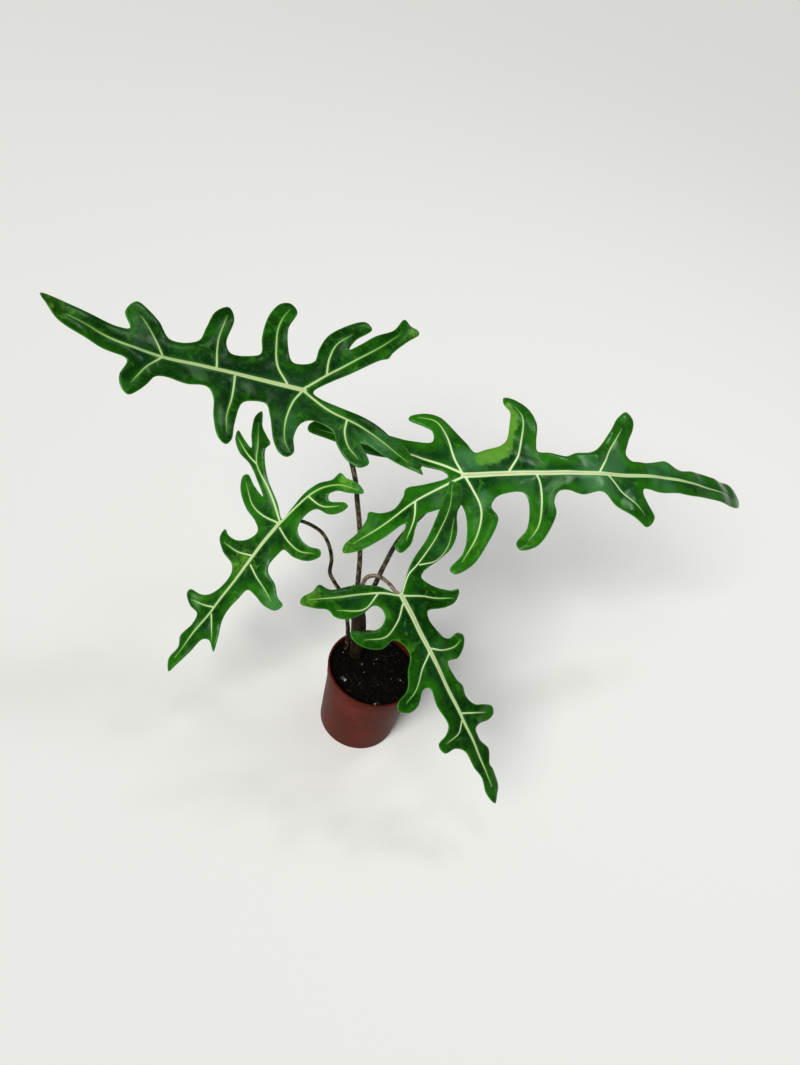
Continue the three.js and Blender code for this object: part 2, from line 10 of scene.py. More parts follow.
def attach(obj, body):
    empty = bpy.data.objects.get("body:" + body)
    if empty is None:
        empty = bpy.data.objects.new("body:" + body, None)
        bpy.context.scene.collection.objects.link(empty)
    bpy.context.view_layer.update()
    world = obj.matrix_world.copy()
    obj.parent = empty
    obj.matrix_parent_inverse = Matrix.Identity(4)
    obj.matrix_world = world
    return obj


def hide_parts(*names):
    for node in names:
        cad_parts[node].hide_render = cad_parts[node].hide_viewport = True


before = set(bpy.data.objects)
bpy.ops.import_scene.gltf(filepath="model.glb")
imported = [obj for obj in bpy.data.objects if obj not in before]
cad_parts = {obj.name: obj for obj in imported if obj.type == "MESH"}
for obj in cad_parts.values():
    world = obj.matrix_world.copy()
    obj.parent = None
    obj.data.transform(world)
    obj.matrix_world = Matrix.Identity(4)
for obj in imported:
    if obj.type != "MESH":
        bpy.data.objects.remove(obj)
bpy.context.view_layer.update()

# A potted alocasia with four deeply lobed leaves, in a small terracotta-coloured plastic pot. The +Z axis
# is up, the front is -Y, and the origin is the middle of the pot's underside. Sizes are named in
# millimetres, and each mesh is turned into metres as it is made.

MM = 0.001

# Pot and soil, in millimetres. The lumps of the soil's surface have a length, a height and a seed.

POT = {
    "height": 88,
    "rim_radius": 45,
    "base_radius": 38.5,
    "shoulder_radius": 42.6,
    "collar_height": 12,
    "collar_radius": 43.8,
    "ledge": 2,
    "ledge_drop": 0.6,
    "wall": 1.2,
    "floor": 1.8,
    "lip_height": 1.8,
    "drain_holes": 8,
    "drain_radius": 3.2,
    "drain_circle": 27,
    "drain_sides": 32,
    "sides": 160,
}
SOIL = {
    "level": 82,
    "dome": 2.5,
    "edge": 42.3,
    "gap": 0.3,
    "rings": 44,
    "sectors": 200,
    "lumps": [(9, 1.1, 3), (3.2, 0.9, 7), (1.3, 0.5, 11)],
}

# What lies loose on the soil. Crumbs have a count, the least and greatest size, a squash along each axis
# and a seed, and those placed one by one have x, y and size. A fibre placed one by one has x, y, heading and
# length. A look is the material's name, its dark and its light tone, its grain and its roughness.

CRUMBS = {
    "peat_crumbs": {
        "count": 520, "sizes": (1.2, 3.4), "squash": (1, 1, 0.8), "seed": 5, "placed": [],
        "look": ("peat_crumb", "#040403", "#15120e", 0.8, 0.95),
    },
    "perlite": {
        "count": 9, "sizes": (0.8, 1.7), "squash": (1, 1, 0.85), "seed": 8,
        "placed": [(-22.7, -21.9, 3.2), (28.1, -2.0, 2.0), (11.2, -37.3, 2.2)],
        "look": ("perlite_grain", "#77766f", "#b9b8b2", 0.6, 0.85),
    },
    "grey_grit": {
        "count": 16, "sizes": (1.0, 2.4), "squash": (1, 0.9, 0.7), "seed": 13,
        "placed": [(-25.1, -20.4, 4.5), (-11.5, 1.1, 3.6)],
        "look": ("grey_grit", "#1f201f", "#555754", 0.7, 0.85),
    },
    "bark_chips": {
        "count": 22, "sizes": (2.4, 5.2), "squash": (1.3, 0.7, 0.3), "seed": 21,
        "placed": [(29.5, -22.1, 7.5), (27.0, -24.0, 5.5)],
        "look": ("bark_chip", "#0f0a07", "#2a1d14", 0.7, 0.9),
    },
}
FIBRES = {
    "count": 15, "lengths": (6, 18), "radius": 0.17, "sides": 6, "seed": 34, "circle": 38,
    "placed": [(4.9, 17.9, 0.4, 16), (16.7, -18.6, 2.2, 18), (14.0, -20.5, 0.2, 14)],
    "look": ("coir_fibre", "#221910", "#574632", 0.6, 0.85),
}

# The trunk and the stalks, in millimetres. Radii are spread evenly along a path. A scar is the slanting
# step that an old leaf left, and flutes are waves round the trunk: their count, depth and twist. A seat is
# how far right of the middle of the trunk's mouth, and behind it, a stalk comes out, with its hidden foot
# at the heights "in_mouth". "under_blade" is how far it runs on along the midrib, and how far below the
# blade's middle. "light" is how pale its skin is, which changes to "tip_light" over a stretch by its end.

TRUNK = {
    "path": [[-20.5, 12.3, 74], [-20.8, 12.4, 88], [-24, 12.8, 110], [-29, 13, 136], [-31, 13, 146]],
    "radii": [6.2, 6.5, 6.5, 6.2, 6.5, 6.9],
    "sides": 48,
    "scar_spacing": 12.5,
    "scar_step": 0.55,
    "scar_slant": 2.2,
    "scar_turn": 1.1,
    "sunk": 0.35,
    "top_share": 0.8,
    "flutes": [(7, 0.22, 16), (17, 0.12, -30)],
}
STALK = {
    "sides": 20,
    "step": 1.2,
    "in_mouth": (-6, -3, 3),
    "under_blade": [(0, 3.2), (7, 3.0), (16, 2.4)],
    "taper_from": 0.93,
    "tip_share": 0.5,
    "uneven": 0.05,
    "uneven_length": 11,
    "tip_light": 0.9,
    "light_change": (0.86, 0.99),
}
STALKS = {
    "a": {
        "seat": [-2.6, 1.6],
        "path": [[-37.5, 20, 166], [-43, 30, 192], [-50, 41, 214], [-60.5, 52, 240], [-68.5, 59, 260],
                 [-79, 66, 276], [-97, 67, 298], [-113, 62, 316]],
        "radii": [2.4, 2.3, 2.1],
        "light": 0.08,
    },
    "b": {
        "seat": [2.7, 1.5],
        "path": [[-24.5, 23, 164], [-20.5, 40, 186], [-16, 54, 204], [-6, 67, 224], [3, 76, 240],
                 [12, 80, 257]],
        "radii": [2.4, 2.3, 2.1],
        "light": 0.03,
    },
    "c": {
        "path": [[-31.5, 15, 66], [-31.5, 15, 84], [-33.5, 17, 100], [-38.5, 21, 118], [-46, 26, 135],
                 [-53, 27, 148], [-60, 26, 158], [-66.5, 27, 168], [-68.5, 33, 179], [-74.5, 37, 192],
                 [-83, 38, 203], [-93, 35, 211], [-103, 31, 216], [-112, 26.5, 217]],
        "radii": [2.2, 1.6],
        "light": 0.0,
    },
    "d": {
        "seat": [0.2, -3.0],
        "path": [[-33, 10, 168], [-33.5, 9, 184], [-32.5, 5, 198], [-28.5, 2, 207], [-22, 2, 209.5],
                 [-11, 1, 205.5], [-4, -3, 203]],
        "radii": [2.3, 1.6],
        "light": 0.7,
    },
}

# The flaps of old leaf sheath. Each lies on the trunk, or on a stalk from the mouth up. Its turn and width
# are angles round that in radians, and its three heights, along the path, are those of its foot and of the
# two ends of its slanting top. Then come the radius inside it and how pale it is. All of them flare out to
# a worn and rippled top.

SHEATH = {"rows": 16, "columns": 14, "wall": 0.45, "step": 1.5, "worn": 0.9, "flare": 0.7, "ripple": 0.15}
FIRST_ABOVE_MOUTH = 6
SHEATHS = {
    "trunk_sheath_low": ("trunk", 4.4, 2.6, (4, 34, 27), 6.6, 0.0),
    "trunk_sheath_high": ("trunk", 1.5, 3.2, (20, 60, 70), 6.9, 0.1),
    "sheath_a": ("a", 4.2, 4.4, (0, 26, 15), 2.95, 0.08),
    "sheath_b": ("b", 2.0, 4.0, (0, 12, 19), 2.75, 0.3),
}

# The leaves. x runs from the stalk's joint towards the tip and y to the left of it, in millimetres of the
# pattern; "size" is the real length of one of them. "arch" bows the blade up between joint and tip, "cup"
# drops it away from the midrib, and a "lift" bends one lobe out of the blade's own plane. "tone" makes the
# green lighter or darker, "matt" is the wax's least roughness, and "cream" is how pale the ribs are.
# "midrib_width" is the midrib's at the joint, and "slim" narrows single ribs by their number. "pale" lists
# the yellow-green patches, and the list after it the grey-green patches of painted sheen, a painted highlight
# where the wax shines: middle, radius and strength.

LEAVES = {
    "a": {
        "joint": [-125, 55, 335],
        "tip": [-304, -15, 395],
        "size": 1,
        "roll": -28,
        "arch": -18,
        "cup": 0.0002,
        "tone": -0.12,
        "matt": 0.19,
        "cream": 0.2,
        "midrib_width": 3.8,
        "outline": [
            [202, 0], [196, 5], [188, 11], [179, 14], [158, 17], [135, 18], [137, 31], [134, 40], [128, 44],
            [122, 39], [117, 32], [112, 23], [104, 19], [88, 20], [73, 17], [67, 24], [64, 41], [58, 56],
            [51, 60], [47, 55], [47, 40], [45, 23], [38, 19], [27, 18], [22, 29], [17, 48], [11, 58],
            [5, 60], [0, 55], [2, 41], [-1, 30], [-9, 25], [-26, 31], [-31, 42], [-40, 53], [-50, 58],
            [-56, 54], [-53, 46], [-47, 36], [-63, 43], [-80, 49], [-92, 53], [-98, 55], [-96, 49],
            [-99, 46], [-91, 44], [-83, 34], [-70, 26], [-60, 19], [-37, 11], [-12, 4], [-7, 0], [-20, -13],
            [-40, -29], [-55, -41], [-61, -44], [-64, -50], [-75, -64], [-84, -74], [-83, -77], [-76, -80],
            [-71, -86], [-63, -73], [-50, -65], [-39, -54], [-30, -46], [-34, -56], [-46, -70], [-40, -75],
            [-27, -69], [-12, -55], [-6, -40], [-4, -28], [3, -24], [12, -24], [17, -35], [20, -53],
            [15, -71], [21, -79], [28, -77], [36, -63], [39, -40], [38, -24], [44, -20], [60, -18],
            [65, -25], [63, -48], [69, -59], [78, -51], [83, -33], [87, -19], [107, -12], [119, -23],
            [137, -32], [144, -20], [138, -8], [146, -5], [165, -4], [191, -3],
        ],
        "midrib": [[0, 0], [25, -1], [50, -1], [80, 1], [111, 5], [145, 7], [182, 5]],
        "ribs": [
            [[2, 2], [7, 12], [10, 30], [8, 46], [4, 54]], [[54, 2], [53, 20], [54, 37], [52, 50]],
            [[111, 6], [120, 18], [128, 34]], [[0, 1], [-18, 12], [-35, 19], [-60, 30], [-86, 46]],
            [[-35, 20], [-35, 30], [-39, 41], [-48, 51]],
            [[0, -2], [-15, -17], [-35, -36], [-50, -50], [-67, -68]],
            [[-15, -18], [-15, -33], [-19, -47], [-30, -60]],
            [[14, -3], [23, -17], [28, -45], [26, -60], [21, -72]], [[69, -2], [72, -25], [69, -49]],
            [[111, 3], [120, -9], [132, -21]],
        ],
        "pale": [
            [-84, -75, 20, 0.6], [-40, -60, 22, 0.3], [190, 0, 26, 0.45], [65, -40, 18, 0.3],
            [60, 45, 16, 0.15],
        ],
        "painted_sheen": [
            [-60, 38, 26, 0.5], [8, 38, 20, 0.5], [36, -40, 22, 0.3], [58, 40, 14, 0.3], [60, 5, 34, 0.15],
        ],
    },
    "b": {
        "joint": [21.6, 73.9, 287.9],
        "tip": [313.5, 226.6, 240.6],
        "size": 1.076,
        "roll": 21,
        "arch": 35.5,
        "cup": 0.0003,
        "tone": 0.1,
        "matt": 0.15,
        "cream": 1.0,
        "midrib_width": 4.8,
        "outline": [
            [313, 2], [317, 9], [309, 17], [296, 20], [276, 19], [260, 18], [246, 19], [229, 17], [215, 15],
            [204, 16], [191, 19], [178, 17], [160, 14], [150, 14], [146, 20], [153, 33], [162, 47],
            [165, 59], [160, 65], [150, 59], [136, 43], [122, 27], [110, 19], [96, 18], [85, 14], [71, 17],
            [62, 19], [62, 28], [66, 47], [62, 62], [51, 70], [42, 71], [41, 65], [45, 57], [44, 49],
            [39, 32], [32, 25], [20, 22], [11, 20], [6, 30], [-2, 44], [-11, 56], [-22, 60], [-34, 59],
            [-35, 56], [-25, 48], [-19, 42], [-20, 33], [-34, 36], [-51, 42], [-80, 54], [-100, 61],
            [-110, 60], [-112, 54], [-99, 44], [-75, 30], [-50, 20], [-28, 11], [-15, 5], [-12, 0],
            [-30, -5], [-44, -7], [-47, -14], [-55, -24], [-64, -26], [-73, -25], [-75, -31], [-83, -42],
            [-93, -51], [-94, -57], [-82, -56], [-64, -47], [-48, -38], [-51, -47], [-57, -56], [-53, -61],
            [-45, -55], [-40, -41], [-35, -32], [-20, -27], [-7, -24], [-4, -30], [-3, -46], [-8, -65],
            [-19, -78], [-16, -82], [-4, -77], [9, -61], [20, -40], [17, -29], [24, -20], [44, -19],
            [47, -26], [42, -49], [32, -61], [34, -67], [45, -66], [56, -56], [67, -38], [67, -27],
            [73, -18], [82, -17], [95, -20], [112, -18], [125, -30], [144, -44], [152, -47], [163, -36],
            [155, -18], [157, -12], [180, -13], [204, -10], [229, -9], [256, -6], [287, -5], [303, -3],
        ],
        "midrib": [[0, 0], [40, -1], [100, -1], [130, -1], [176, 2], [220, 4], [290, 6]],
        "ribs": [
            [[-1, 2], [-5, 14], [-9, 38], [-15, 51], [-28, 57]],
            [[35, 1], [45, 16], [53, 40], [54, 53], [50, 62]], [[114, 1], [125, 16], [138, 33], [150, 47]],
            [[1, -2], [5, -14], [9, -32], [4, -51], [-10, -73]],
            [[57, -3], [59, -12], [56, -32], [50, -49], [41, -60]], [[122, -3], [131, -14], [150, -37]],
            [[0, 1], [-20, 14], [-45, 26], [-93, 47], [-106, 54]],
            [[0, -1], [-14, -7], [-38, -19], [-61, -35], [-86, -50]], [[-39, -20], [-41, -34], [-48, -51]],
        ],
        "pale": [
            [14, 14, 10, 0.5], [22, 16, 11, 0.8], [30, 19, 11, 0.85], [36, 27, 10, 0.85], [40, 36, 8, 0.8],
            [45, 44, 8, 0.75], [47, 53, 7, 0.7], [45, 62, 8, 0.6], [-2, -60, 22, 0.4], [42, -55, 22, 0.45],
            [-90, -55, 18, 0.5], [300, 8, 34, 0.3],
        ],
        "painted_sheen": [
            [110, -8, 30, 0.7], [130, 12, 18, 0.65], [180, 5, 30, 0.6], [240, 4, 34, 0.35],
            [45, -12, 20, 0.5], [12, -24, 15, 0.65], [4, 14, 18, 0.65], [-50, 25, 28, 0.3],
        ],
    },
    "c": {
        "joint": [-119, 22, 215],
        "tip": [-178, -71, 82],
        "size": 1,
        "roll": -6,
        "arch": -4,
        "cup": 0.0002,
        "tone": 0.0,
        "matt": 0.2,
        "cream": 0.35,
        "midrib_width": 3.2,
        "outline": [
            [173, 0], [163, 2], [148, 4], [130, 6], [126, 12], [131, 22], [121, 19], [107, 11], [97, 9],
            [80, 10], [67, 12], [66, 21], [67, 33], [63, 45], [55, 47], [53, 38], [46, 29], [42, 19],
            [36, 14], [23, 15], [17, 17], [16, 28], [10, 41], [-1, 48], [-5, 45], [-1, 35], [-1, 26],
            [-5, 18], [-14, 15], [-26, 17], [-31, 21], [-34, 32], [-42, 40], [-51, 43], [-52, 39],
            [-44, 26], [-48, 22], [-55, 26], [-61, 37], [-69, 47], [-72, 38], [-69, 26], [-69, 19],
            [-60, 16], [-50, 8], [-37, 3], [-15, 0], [-3, -1], [-11, -14], [-24, -37], [-41, -54],
            [-48, -53], [-51, -60], [-55, -70], [-65, -79], [-58, -82], [-45, -75], [-34, -66], [-36, -78],
            [-38, -87], [-30, -86], [-23, -75], [-21, -57], [-14, -40], [-7, -29], [-9, -41], [-13, -54],
            [-8, -58], [2, -53], [12, -37], [15, -22], [20, -14], [32, -17], [40, -26], [42, -36],
            [40, -42], [49, -42], [57, -31], [60, -17], [66, -12], [83, -11], [95, -16], [101, -23],
            [104, -34], [109, -34], [115, -24], [116, -14], [126, -11], [143, -14], [151, -9], [165, -8],
        ],
        "midrib": [[0, -1], [25, -3], [75, -4], [104, -4], [135, -5], [160, -4]],
        "ribs": [
            [[4, 2], [8, 16], [8, 30], [1, 42]], [[48, 0], [52, 13], [60, 37]], [[107, -2], [124, 14]],
            [[-1, 0], [-19, 3], [-47, 12], [-60, 24], [-68, 42]], [[-35, 8], [-36, 23], [-47, 37]],
            [[-1, -3], [-16, -29], [-27, -53], [-41, -63], [-55, -75]],
            [[-26, -52], [-27, -65], [-33, -84]], [[2, -3], [6, -18], [5, -34], [-6, -51]],
            [[41, -5], [47, -18], [50, -35]], [[101, -5], [106, -14], [110, -26]],
        ],
        "pale": [[-67, 28, 14, 0.65], [55, -10, 26, 0.5], [-2, 38, 18, 0.25], [30, 8, 24, 0.3]],
        "painted_sheen": [[58, 40, 16, 0.5], [10, 5, 24, 0.3], [110, 0, 24, 0.25]],
    },
    "d": {
        "joint": [2.5, -5.8, 205],
        "tip": [141.8, -90.9, 71],
        "size": 0.971,
        "roll": 3,
        "arch": 8.7,
        "cup": 0.0002,
        "lift": {"along": [-0.45, 0.89], "from": 12, "over": 116, "power": 1.25, "by": [-4, -72, 60]},
        "tone": -0.03,
        "matt": 0.22,
        "cream": 0.9,
        "midrib_width": 5.1,
        "slim": {4: 0.6, 5: 0.6},
        "outline": [
            [217, 0], [211, 5], [204, 10], [187, 11], [180, 9], [167, 14], [153, 9], [142, 9], [141, 15],
            [144, 27], [142, 35], [136, 37], [128, 28], [121, 17], [110, 13], [101, 15], [92, 11], [74, 11],
            [76, 22], [70, 34], [62, 39], [57, 35], [57, 24], [50, 17], [32, 13], [25, 16], [31, 35],
            [32, 47], [27, 56], [22, 59], [19, 49], [5, 33], [-4, 28], [-8, 34], [-10, 58], [-14, 78],
            [-24, 93], [-38, 103], [-46, 115], [-58, 121], [-65, 113], [-60, 105], [-47, 83], [-33, 58],
            [-18, 23], [-3, 2], [-2, -2], [-18, -18], [-28, -36], [-36, -60], [-44, -67], [-42, -76],
            [-42, -87], [-38, -91], [-29, -82], [-22, -72], [-14, -69], [-7, -60], [-4, -45], [-5, -31],
            [0, -26], [9, -27], [14, -36], [10, -50], [3, -62], [8, -65], [20, -60], [30, -45], [29, -31],
            [37, -24], [50, -23], [60, -32], [73, -43], [77, -54], [83, -57], [91, -48], [91, -37],
            [81, -27], [83, -20], [100, -20], [121, -18], [128, -25], [131, -35], [142, -32], [145, -20],
            [153, -12], [172, -9], [186, -5], [202, -6],
        ],
        "midrib": [[0, -1], [50, -2], [100, -2], [127, -1], [160, 1], [200, 2]],
        "ribs": [
            [[2, 2], [10, 17], [20, 33], [27, 48]], [[55, 1], [62, 11], [66, 25], [64, 34]],
            [[121, 1], [136, 27]], [[-1, 1], [-12, 17], [-16, 31], [-30, 67], [-46, 97], [-62, 113]],
            [[-15, 33], [-11, 54], [-17, 75], [-36, 97]], [[-1, -3], [-12, -20], [-28, -60], [-38, -84]],
            [[-12, -21], [-7, -42], [-18, -65]], [[8, -5], [18, -18], [23, -36], [15, -56]],
            [[57, -4], [66, -19], [78, -36], [82, -47]], [[127, -3], [134, -11], [135, -27]],
        ],
        "pale": [[38, -17, 26, 0.4], [10, 30, 26, 0.4], [-42, -80, 20, 0.6], [200, 3, 24, 0.25]],
        "painted_sheen": [[60, 3, 30, 0.35], [120, 0, 30, 0.25], [-26, 75, 30, 0.25]],
    },
}

# What all blades share, in millimetres. Ruffles wave the margins, swells and a faint quilt stand up between
# the ribs, and the edge droops. A rib stands out above and below by a share of its own half width, with a
# channel along the midrib's top. The steps are those of the points on the outline, ribs and flat parts.

BLADE = {
    "half_thickness": 0.28,
    "ruffle": 1.1,
    "ruffle_length": 41,
    "swell": 1.6,
    "swell_length": 26,
    "quilt": 0.03,
    "quilt_length": 9,
    "vein_spacing": 3.4,
    "droop": 0.8,
    "droop_reach": 2.6,
    "rib_width": 1.35,
    "rib_above": 0.3,
    "rib_below": 1.05,
    "channel": 0.3,
    "edge_step": 1.1,
    "rib_step": 1.6,
    "fill_step": 1.35,
}

# The numbers that each point of a blade keeps for its material: how many half widths it is from a rib's
# middle, how near that rib's end, how far from a rib's edge and from the blade's own, the phase of the side
# veins, the midrib's channel, the leaf's tone, cream and matt, the pale patches and the painted sheen.

LEAF_VALUES = ("rib", "fade", "gap", "edge", "vein", "channel", "tone", "cream", "matt", "pale", "painted_sheen")

# Stage, in metres and degrees

CAMERA = {"place": (-0.016, -0.475, 0.715), "down": 43.2, "roll": 17.9, "sensor": 36, "lens": 27}
FLOOR_REACH = 8
ROOM = {"colour": "#e9edf0", "light": 0.14, "seen": 0.9}
SUN = {"power": 3.2, "width": 30, "turn": (42, -24, 0), "colour": (1.0, 0.985, 0.955)}
WINDOWS = {
    "window_above": {"place": (-0.15, -0.2, 2.3), "target": (-0.05, 0.05, 0.3), "size": 0.4, "power": 2},
    "window_behind": {"place": (0.34, 0.6, 2.23), "target": (0.05, 0.08, 0.3), "size": 0.3, "power": 2.5},
    "window_beside": {"place": (0.75, 0.8, 2.0), "target": (0.05, 0.08, 0.3), "size": 0.3, "power": 4},
}
WINDOW_COLOUR = (0.97, 0.98, 1.0)


# Curves and small sums

def smoothstep(value, low, high):
    t = np.clip((value - low) / (high - low), 0, 1)
    return t * t * (3 - 2 * t)


def unit(vectors):
    """One vector, or each row of several, at a length of 1."""
    return vectors / np.linalg.norm(vectors, axis=-1, keepdims=True)


def turns_round(sides):
    """The angles of so many sides round a circle, in radians."""
    return np.arange(sides) * 2 * math.pi / sides


def smooth_curve(points, step, closed=False):
    """A centripetal Catmull-Rom curve through the points, with a new point about every step along it."""
    points = np.asarray(points, float)
    if closed:
        padded = np.vstack([points[-1:], points, points[:2]])
    else:
        padded = np.vstack([2 * points[0] - points[1], points, 2 * points[-1] - points[-2]])
    pieces = []
    for a, b, c, d in zip(padded, padded[1:], padded[2:], padded[3:]):
        before, here, after = (np.linalg.norm(q - p) ** 0.5 for p, q in ((a, b), (b, c), (c, d)))
        leaving = here * ((b - a) / before - (c - a) / (before + here)) + (c - b)
        arriving = here * ((d - c) / after - (d - b) / (here + after)) + (c - b)
        count = max(1, round(float(np.linalg.norm(c - b)) / step))
        t = np.linspace(0, 1, count, endpoint=False)[:, None]
        pieces.append(b * (2 * t**3 - 3 * t**2 + 1) + leaving * (t**3 - 2 * t**2 + t)
                      + c * (3 * t**2 - 2 * t**3) + arriving * (t**3 - t**2))
    if not closed:
        pieces.append(points[-1:])
    return np.vstack(pieces)


def run_lengths(line):
    """How far along the line each of its points is, from 0."""
    return np.concatenate([[0], np.cumsum(np.linalg.norm(np.diff(line, axis=0), axis=1))])


def nearest(points, line, closed=False):
    """The distance from each point to a flat line, and how far along the line its nearest place is."""
    if closed:
        line = np.vstack([line, line[:1]])
    best = np.full(len(points), np.inf)
    place = np.zeros(len(points))
    for start, end, run in zip(line[:-1], line[1:], run_lengths(line)):
        way = end - start
        length = np.linalg.norm(way)
        t = np.clip((points - start) @ way / length**2, 0, 1)
        distance = np.linalg.norm(points - start - t[:, None] * way, axis=1)
        closer = distance < best
        best[closer] = distance[closer]
        place[closer] = run + t[closer] * length
    return best, place


def is_inside(points, outline):
    inside = np.zeros(len(points), bool)
    x, y = points.T
    for (ax, ay), (bx, by) in zip(outline, np.roll(outline, -1, axis=0)):
        if ay != by:
            inside ^= ((ay > y) != (by > y)) & (x < (bx - ax) * (y - ay) / (by - ay) + ax)
    return inside


def thin_out(points, spacing, kept):
    """The points that lie at least the spacing away from those kept before and from each other."""
    cells = {}
    for x, y in kept:
        cells.setdefault((int(x // spacing), int(y // spacing)), []).append((x, y))
    chosen = []
    for x, y in points:
        column, row = int(x // spacing), int(y // spacing)
        near = [p for i in (-1, 0, 1) for j in (-1, 0, 1) for p in cells.get((column + i, row + j), ())]
        if all((x - a) ** 2 + (y - b) ** 2 >= spacing**2 for a, b in near):
            cells.setdefault((column, row), []).append((x, y))
            chosen.append((x, y))
    return np.array(chosen).reshape(-1, 2)


# Meshes

def new_object(name, data):
    """An object in the scene, with its mesh, lamp or camera."""
    thing = bpy.data.objects.new(name, data)
    bpy.context.scene.collection.objects.link(thing)
    return thing


def new_mesh(name, points, faces):
    """A mesh from points in millimetres."""
    mesh = bpy.data.meshes.new(name)
    mesh.from_pydata((np.asarray(points, float) * MM).tolist(), [], [list(map(int, f)) for f in faces])
    mesh.update()
    return mesh


def new_piece(name, points, faces, materials, slot, *replaced):
    """A piece from points in millimetres, which rides on the plant's one body."""
    mesh = new_mesh(name, points, faces)
    mesh.shade_smooth()
    for material in materials:
        mesh.materials.append(material)
    piece = new_object(name, mesh)
    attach(piece, "root")
    if replaced:
        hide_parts(*replaced)
    return piece


def set_values(piece, **values):
    """Stores one number for each of the mesh's points under each name, for its material to read."""
    for name, numbers in values.items():
        stored = piece.data.attributes.new(name, "FLOAT", "POINT")
        stored.data.foreach_set("value", np.asarray(numbers, np.float32))


def set_skin(piece, places, light):
    """Stores each point's place on the skin, in metres, and how pale the skin is there."""
    stored = piece.data.attributes.new("skin", "FLOAT_VECTOR", "POINT")
    stored.data.foreach_set("vector", (np.asarray(places) * MM).astype(np.float32).ravel())
    set_values(piece, light=np.broadcast_to(light, len(places)))


def ring(radius, z, sides):
    """A level ring of points round the Z axis."""
    turns = turns_round(sides)
    return np.stack([radius * np.cos(turns), radius * np.sin(turns), np.full(sides, float(z))], axis=1)


def bands(rings, sides, start=0):
    """The four-sided faces between each ring of points and the next one."""
    faces = []
    for i in range(start, start + (rings - 1) * sides, sides):
        for k in range(sides):
            n = (k + 1) % sides
            faces.append([i + k, i + n, i + sides + n, i + sides + k])
    return faces


def tube(path, radii, sides):
    """The points and faces of a closed tube along a path. Each ring has its own radius, or one for each
    of its sides."""
    path = np.asarray(path, float)
    ways = unit(np.gradient(path, axis=0))
    turns = turns_round(sides)
    across = np.cross(ways[0], [0.31, 0.87, 0.38])
    points = []
    for centre, way, radius in zip(path, ways, radii):
        across = unit(across - way * (across @ way))
        circle = np.outer(np.cos(turns), across) + np.outer(np.sin(turns), np.cross(way, across))
        points.append(centre + circle * np.reshape(radius, (-1, 1)))
    last = (len(path) - 1) * sides
    caps = [list(range(sides))[::-1], list(range(last, last + sides))]
    return np.vstack(points), bands(len(path), sides) + caps


def round_solid(first, rings, last):
    """The points and faces of a solid from its first point over rings of points to its last one."""
    sides = len(rings[0])
    points = np.vstack([[first], *rings, [last]])
    end = len(points) - 1
    faces = bands(len(rings), sides, 1)
    for k in range(sides):
        n = (k + 1) % sides
        faces += [[0, 1 + n, 1 + k], [end - sides + k, end - sides + n, end]]
    return points, faces


def turned_over(faces):
    """The same faces seen from their other side."""
    return [face[:1] + face[:0:-1] for face in faces]


def shell_faces(sheet, count):
    """The faces of a thin shell: those of a sheet, the same turned over on its far side, and the rim. Each
    point of the far side comes so many places after its own on the near side."""
    edges = {(a, b) for face in sheet for a, b in zip(face, face[1:] + face[:1])}
    rim = [[b, a, a + count, b + count] for a, b in sorted(edges) if (b, a) not in edges]
    return sheet + [[i + count for i in face] for face in turned_over(sheet)] + rim


def joined(parts):
    """The points and faces of several closed meshes as one list of each."""
    points, faces, start = [], [], 0
    for some_points, some_faces in parts:
        points.append(some_points)
        faces += [[start + i for i in face] for face in some_faces]
        start += len(some_points)
    return np.vstack(points), faces


# Materials

def paint(hex_code):
    """The linear colour of an sRGB hex value."""
    channels = [int(hex_code[i:i + 2], 16) / 255 for i in (1, 3, 5)]
    return [c / 12.92 if c <= 0.04045 else ((c + 0.055) / 1.055) ** 2.4 for c in channels] + [1]


def new_material(name):
    material = bpy.data.materials.new(name)
    material.use_nodes = True
    material.node_tree.nodes.clear()
    return material, material.node_tree


def add(tree, kind, inputs=None, **settings):
    """Adds a node with its settings. An input is a value to set, a socket to link, or a node whose first
    output is linked."""
    node = tree.nodes.new("ShaderNode" + kind)
    for name, value in settings.items():
        setattr(node, name, value)
    for socket, value in (inputs or {}).items():
        if isinstance(value, bpy.types.Node):
            value = next(output for output in value.outputs if output.enabled)
        if isinstance(value, bpy.types.NodeSocket):
            tree.links.new(value, node.inputs[socket])
        else:
            node.inputs[socket].default_value = value
    return node


def layered(tree, ground, layers):
    """Lays colours over a ground. Each layer is a reading, the range of it over which the layer's share
    changes, its share at either end, and its colour."""
    for reading, low, high, first, last, colour in layers:
        share = add(tree, "MapRange", {"Value": reading, "From Min": low, "From Max": high,
                                       "To Min": first, "To Max": last}, interpolation_type="SMOOTHSTEP")
        ground = add(tree, "Mix", {0: share, 6: ground, 7: colour}, data_type="RGBA")
    return ground


def finished(material, colour, rough, height, depth, strength, sockets):
    """Ends a material: its colour and roughness, a bump so many millimetres deep, and the shader's own
    settings."""
    tree = material.node_tree
    bump = add(tree, "Bump", {"Height": height, "Distance": depth * MM, "Strength": strength})
    skin = add(tree, "BsdfPrincipled", {"Base Color": colour, "Roughness": rough, "Normal": bump, **sockets})
    add(tree, "OutputMaterial", {"Surface": skin})
    return material


